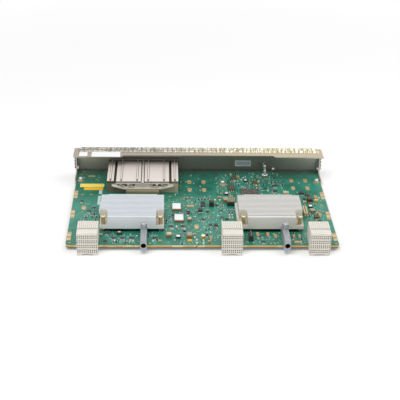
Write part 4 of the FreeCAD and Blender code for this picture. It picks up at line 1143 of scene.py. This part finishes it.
socket_ring = new_post(2.4, 0.5, on_board(0.7, 16.6))
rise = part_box("test_socket")[1].z - board_high.z - 0.1 * mm
socket_ring.data.transform(Matrix.Translation((0, 0, rise)))
sink_middle(socket_ring, 0.9, 0.3)
hand_over("socket_ring", socket_ring, "natural_nylon",
          moulded_plastic("cream_nylon", "#e2dfcd", "#f2f0e2", 0.3, 0.4))

pin_places = []
for node, count_x, count_y, pitch in (("keyed_header", 2, 2, 1.4), ("jumper_header", 1, 4, 2.54)):
    low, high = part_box(node)
    pin_places += [spot(x, y, high.z - 2.0 * mm)
                   for x in row(middle_x((low, high)), count_x, pitch)
                   for y in row((low.y + high.y) / 2, count_y, pitch)]
pin = round_edges(new_box((0.64, 0.64, 3.0)), 0.12, 1, upward)
set_out("header_pins", pin, pin_places, "socket_gold", pad_gold)


# ---- Lights and light pipe ----
# Clear cast acrylic, polished where it is bent, with a frosted white ball on it over the lamp.
# A frosted collar and a gold seat hold its foot on the board.

# Clear plastic, a little cloudy where the moulding froze unevenly
finish_nodes(clouded("clear_acrylic", "#cfd8d6", "#f6faf9", 1.5, 0.08, Transmission_Weight=0.75,
                     IOR=1.49), "light_pipe")
finish_nodes(two_faced("lamp_body", "#e6eae9", "#f8faf9", "#2b2c2c", 0.4, 0.3), "status_light")
frosted = fired_ceramic("frosted_acrylic", "#e3e9e8", "#fbfdfd")
pipe_foot = Vector((middle_x(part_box("light_pipe")), on_board(0, 173.5).y, board_high.z))
collar = new_piece(bpy.ops.mesh.primitive_torus_add, pipe_foot + Vector((0, 0, 2.8 * mm)),
                   major_radius=2.9 * mm, minor_radius=0.7 * mm, major_segments=32,
                   minor_segments=10)
shape(collar, lambda middle, normal: normal.z > 0.5, moved(0, 0, -0.25))
smooth(60)
hand_over("light_pipe_collar", collar, "clear_acrylic", frosted)
seat = round_edges(new_post(1.9, 0.2, pipe_foot + Vector((0, 0, 2.6 * mm))), 0.06, 1, upward)
hand_over("light_pipe_seat", seat, "socket_gold", edge_pad_gold)
bulb_reach = 7.6
bulb_height = 11.1
bulb_radius = 1.75
bulb = new_piece(bpy.ops.mesh.primitive_uv_sphere_add,
                 pipe_foot + Vector((0, bulb_reach * mm, bulb_height * mm)), segments=24,
                 ring_count=12, radius=bulb_radius * mm)
shape(bulb, lambda middle, normal: normal.y > 0.5, moved(0, 1.2, 0))
smooth(60)
hand_over("light_pipe_end", bulb, "clear_acrylic", frosted)


# ---- Processors under the coolers ----
# Nickel-plated lids on glass-epoxy substrates, with grey filler pads up to the coolers.
# They are soldered to the board, and only their edges could be seen from the side.

for side in ("left", "right"):
    finish_nodes(moulded_plastic("substrate_laminate", "#28442c", "#33553a", 0.3, 0.5),
                 "processor_" + side)
    finish_nodes(bright_steel, "processor_lid_" + side)
    finish_nodes(moulded_plastic("gap_filler", "#6d7276", "#7c8286", 0.4, 0.8),
                 "thermal_pad_" + side)


# ---- Stage, light and camera ----
# A white table under two large soft lights in an evenly lit room, seen from above the
# backplane edge with a long lens.

def white_table():
    """White further out, and near the card dimmed by the shadows that fall on it."""
    top = begin_material("white_table", 0.9, Base_Color="#f8f8f8")
    rays = add(top, "LightPath").outputs
    seen = rays["Is Camera Ray"]
    for ray in ("Is Glossy Ray", "Is Transmission Ray"):
        seen = add(top, "Math", {0: seen, 1: rays[ray]}, operation="MAXIMUM")
    place = add(top, "TexCoord").outputs["Object"]
    away = add(top, "VectorMath", {0: place}, operation="LENGTH")
    far = add(top, "MapRange", {"Value": away, "From Min": 0.25, "From Max": 0.9,
                                "To Min": 0.12})
    share = add(top, "Math", {0: seen, 1: far}, operation="MULTIPLY")
    glow = add(top, "Emission")
    nodes = top.node_tree.nodes
    mixed = add(top, "MixShader", {"Fac": share, 1: nodes["Principled BSDF"].outputs["BSDF"],
                                   2: glow})
    feed(nodes["Material Output"], {"Surface": mixed})
    return top


table_size = 8.0              # metres
table = new_piece(bpy.ops.mesh.primitive_plane_add, (0, 0, -0.5 * mm), size=table_size)
table.name = "table"
table.data.materials.append(white_table())

world = bpy.data.worlds.new("studio")
bpy.context.scene.world = world
world.use_nodes = True
rays = add(world, "LightPath").outputs
seen = add(world, "Math", {0: rays["Is Camera Ray"], 1: rays["Is Glossy Ray"]},
           operation="MAXIMUM")
strength = add(world, "MapRange", {"Value": seen, "To Min": 0.55})
feed(world.node_tree.nodes["Background"], {"Strength": strength, "Color": (1, 1, 1, 1)})

# Lights: place and size in metres, power in watts
for name, place, size, power in (("key_light", (-0.45, -0.52, 1.35), 1.0, 12.0),
                                 ("fill_light", (0.9, 0.2, 1.2), 1.2, 7.0)):
    lamp = bpy.data.lights.new(name, "AREA")
    lamp.size = size
    lamp.energy = power
    light = bpy.data.objects.new(name, lamp)
    light.location = place
    light.rotation_euler = (-Vector(place)).to_track_quat("-Z", "Y").to_euler()
    bpy.context.collection.objects.link(light)

camera_place = (-46.3, -1055.6, 577.1)
camera_pitch = 28.0
camera_yaw = 2.47
camera_roll = 1.35
lens_length = 89.6
lens = bpy.data.cameras.new("camera")
lens.lens = lens_length
lens.sensor_width = 36.0
camera = bpy.data.objects.new("camera", lens)
bpy.context.collection.objects.link(camera)
camera.matrix_world = (Matrix.Translation(Vector(camera_place) * mm)
                       @ Matrix.Rotation(math.radians(-camera_yaw), 4, "Z")
                       @ Matrix.Rotation(math.radians(90 - camera_pitch), 4, "X")
                       @ Matrix.Rotation(math.radians(camera_roll), 4, "Z"))
bpy.context.scene.camera = camera
bpy.context.scene.view_settings.view_transform = "Standard"
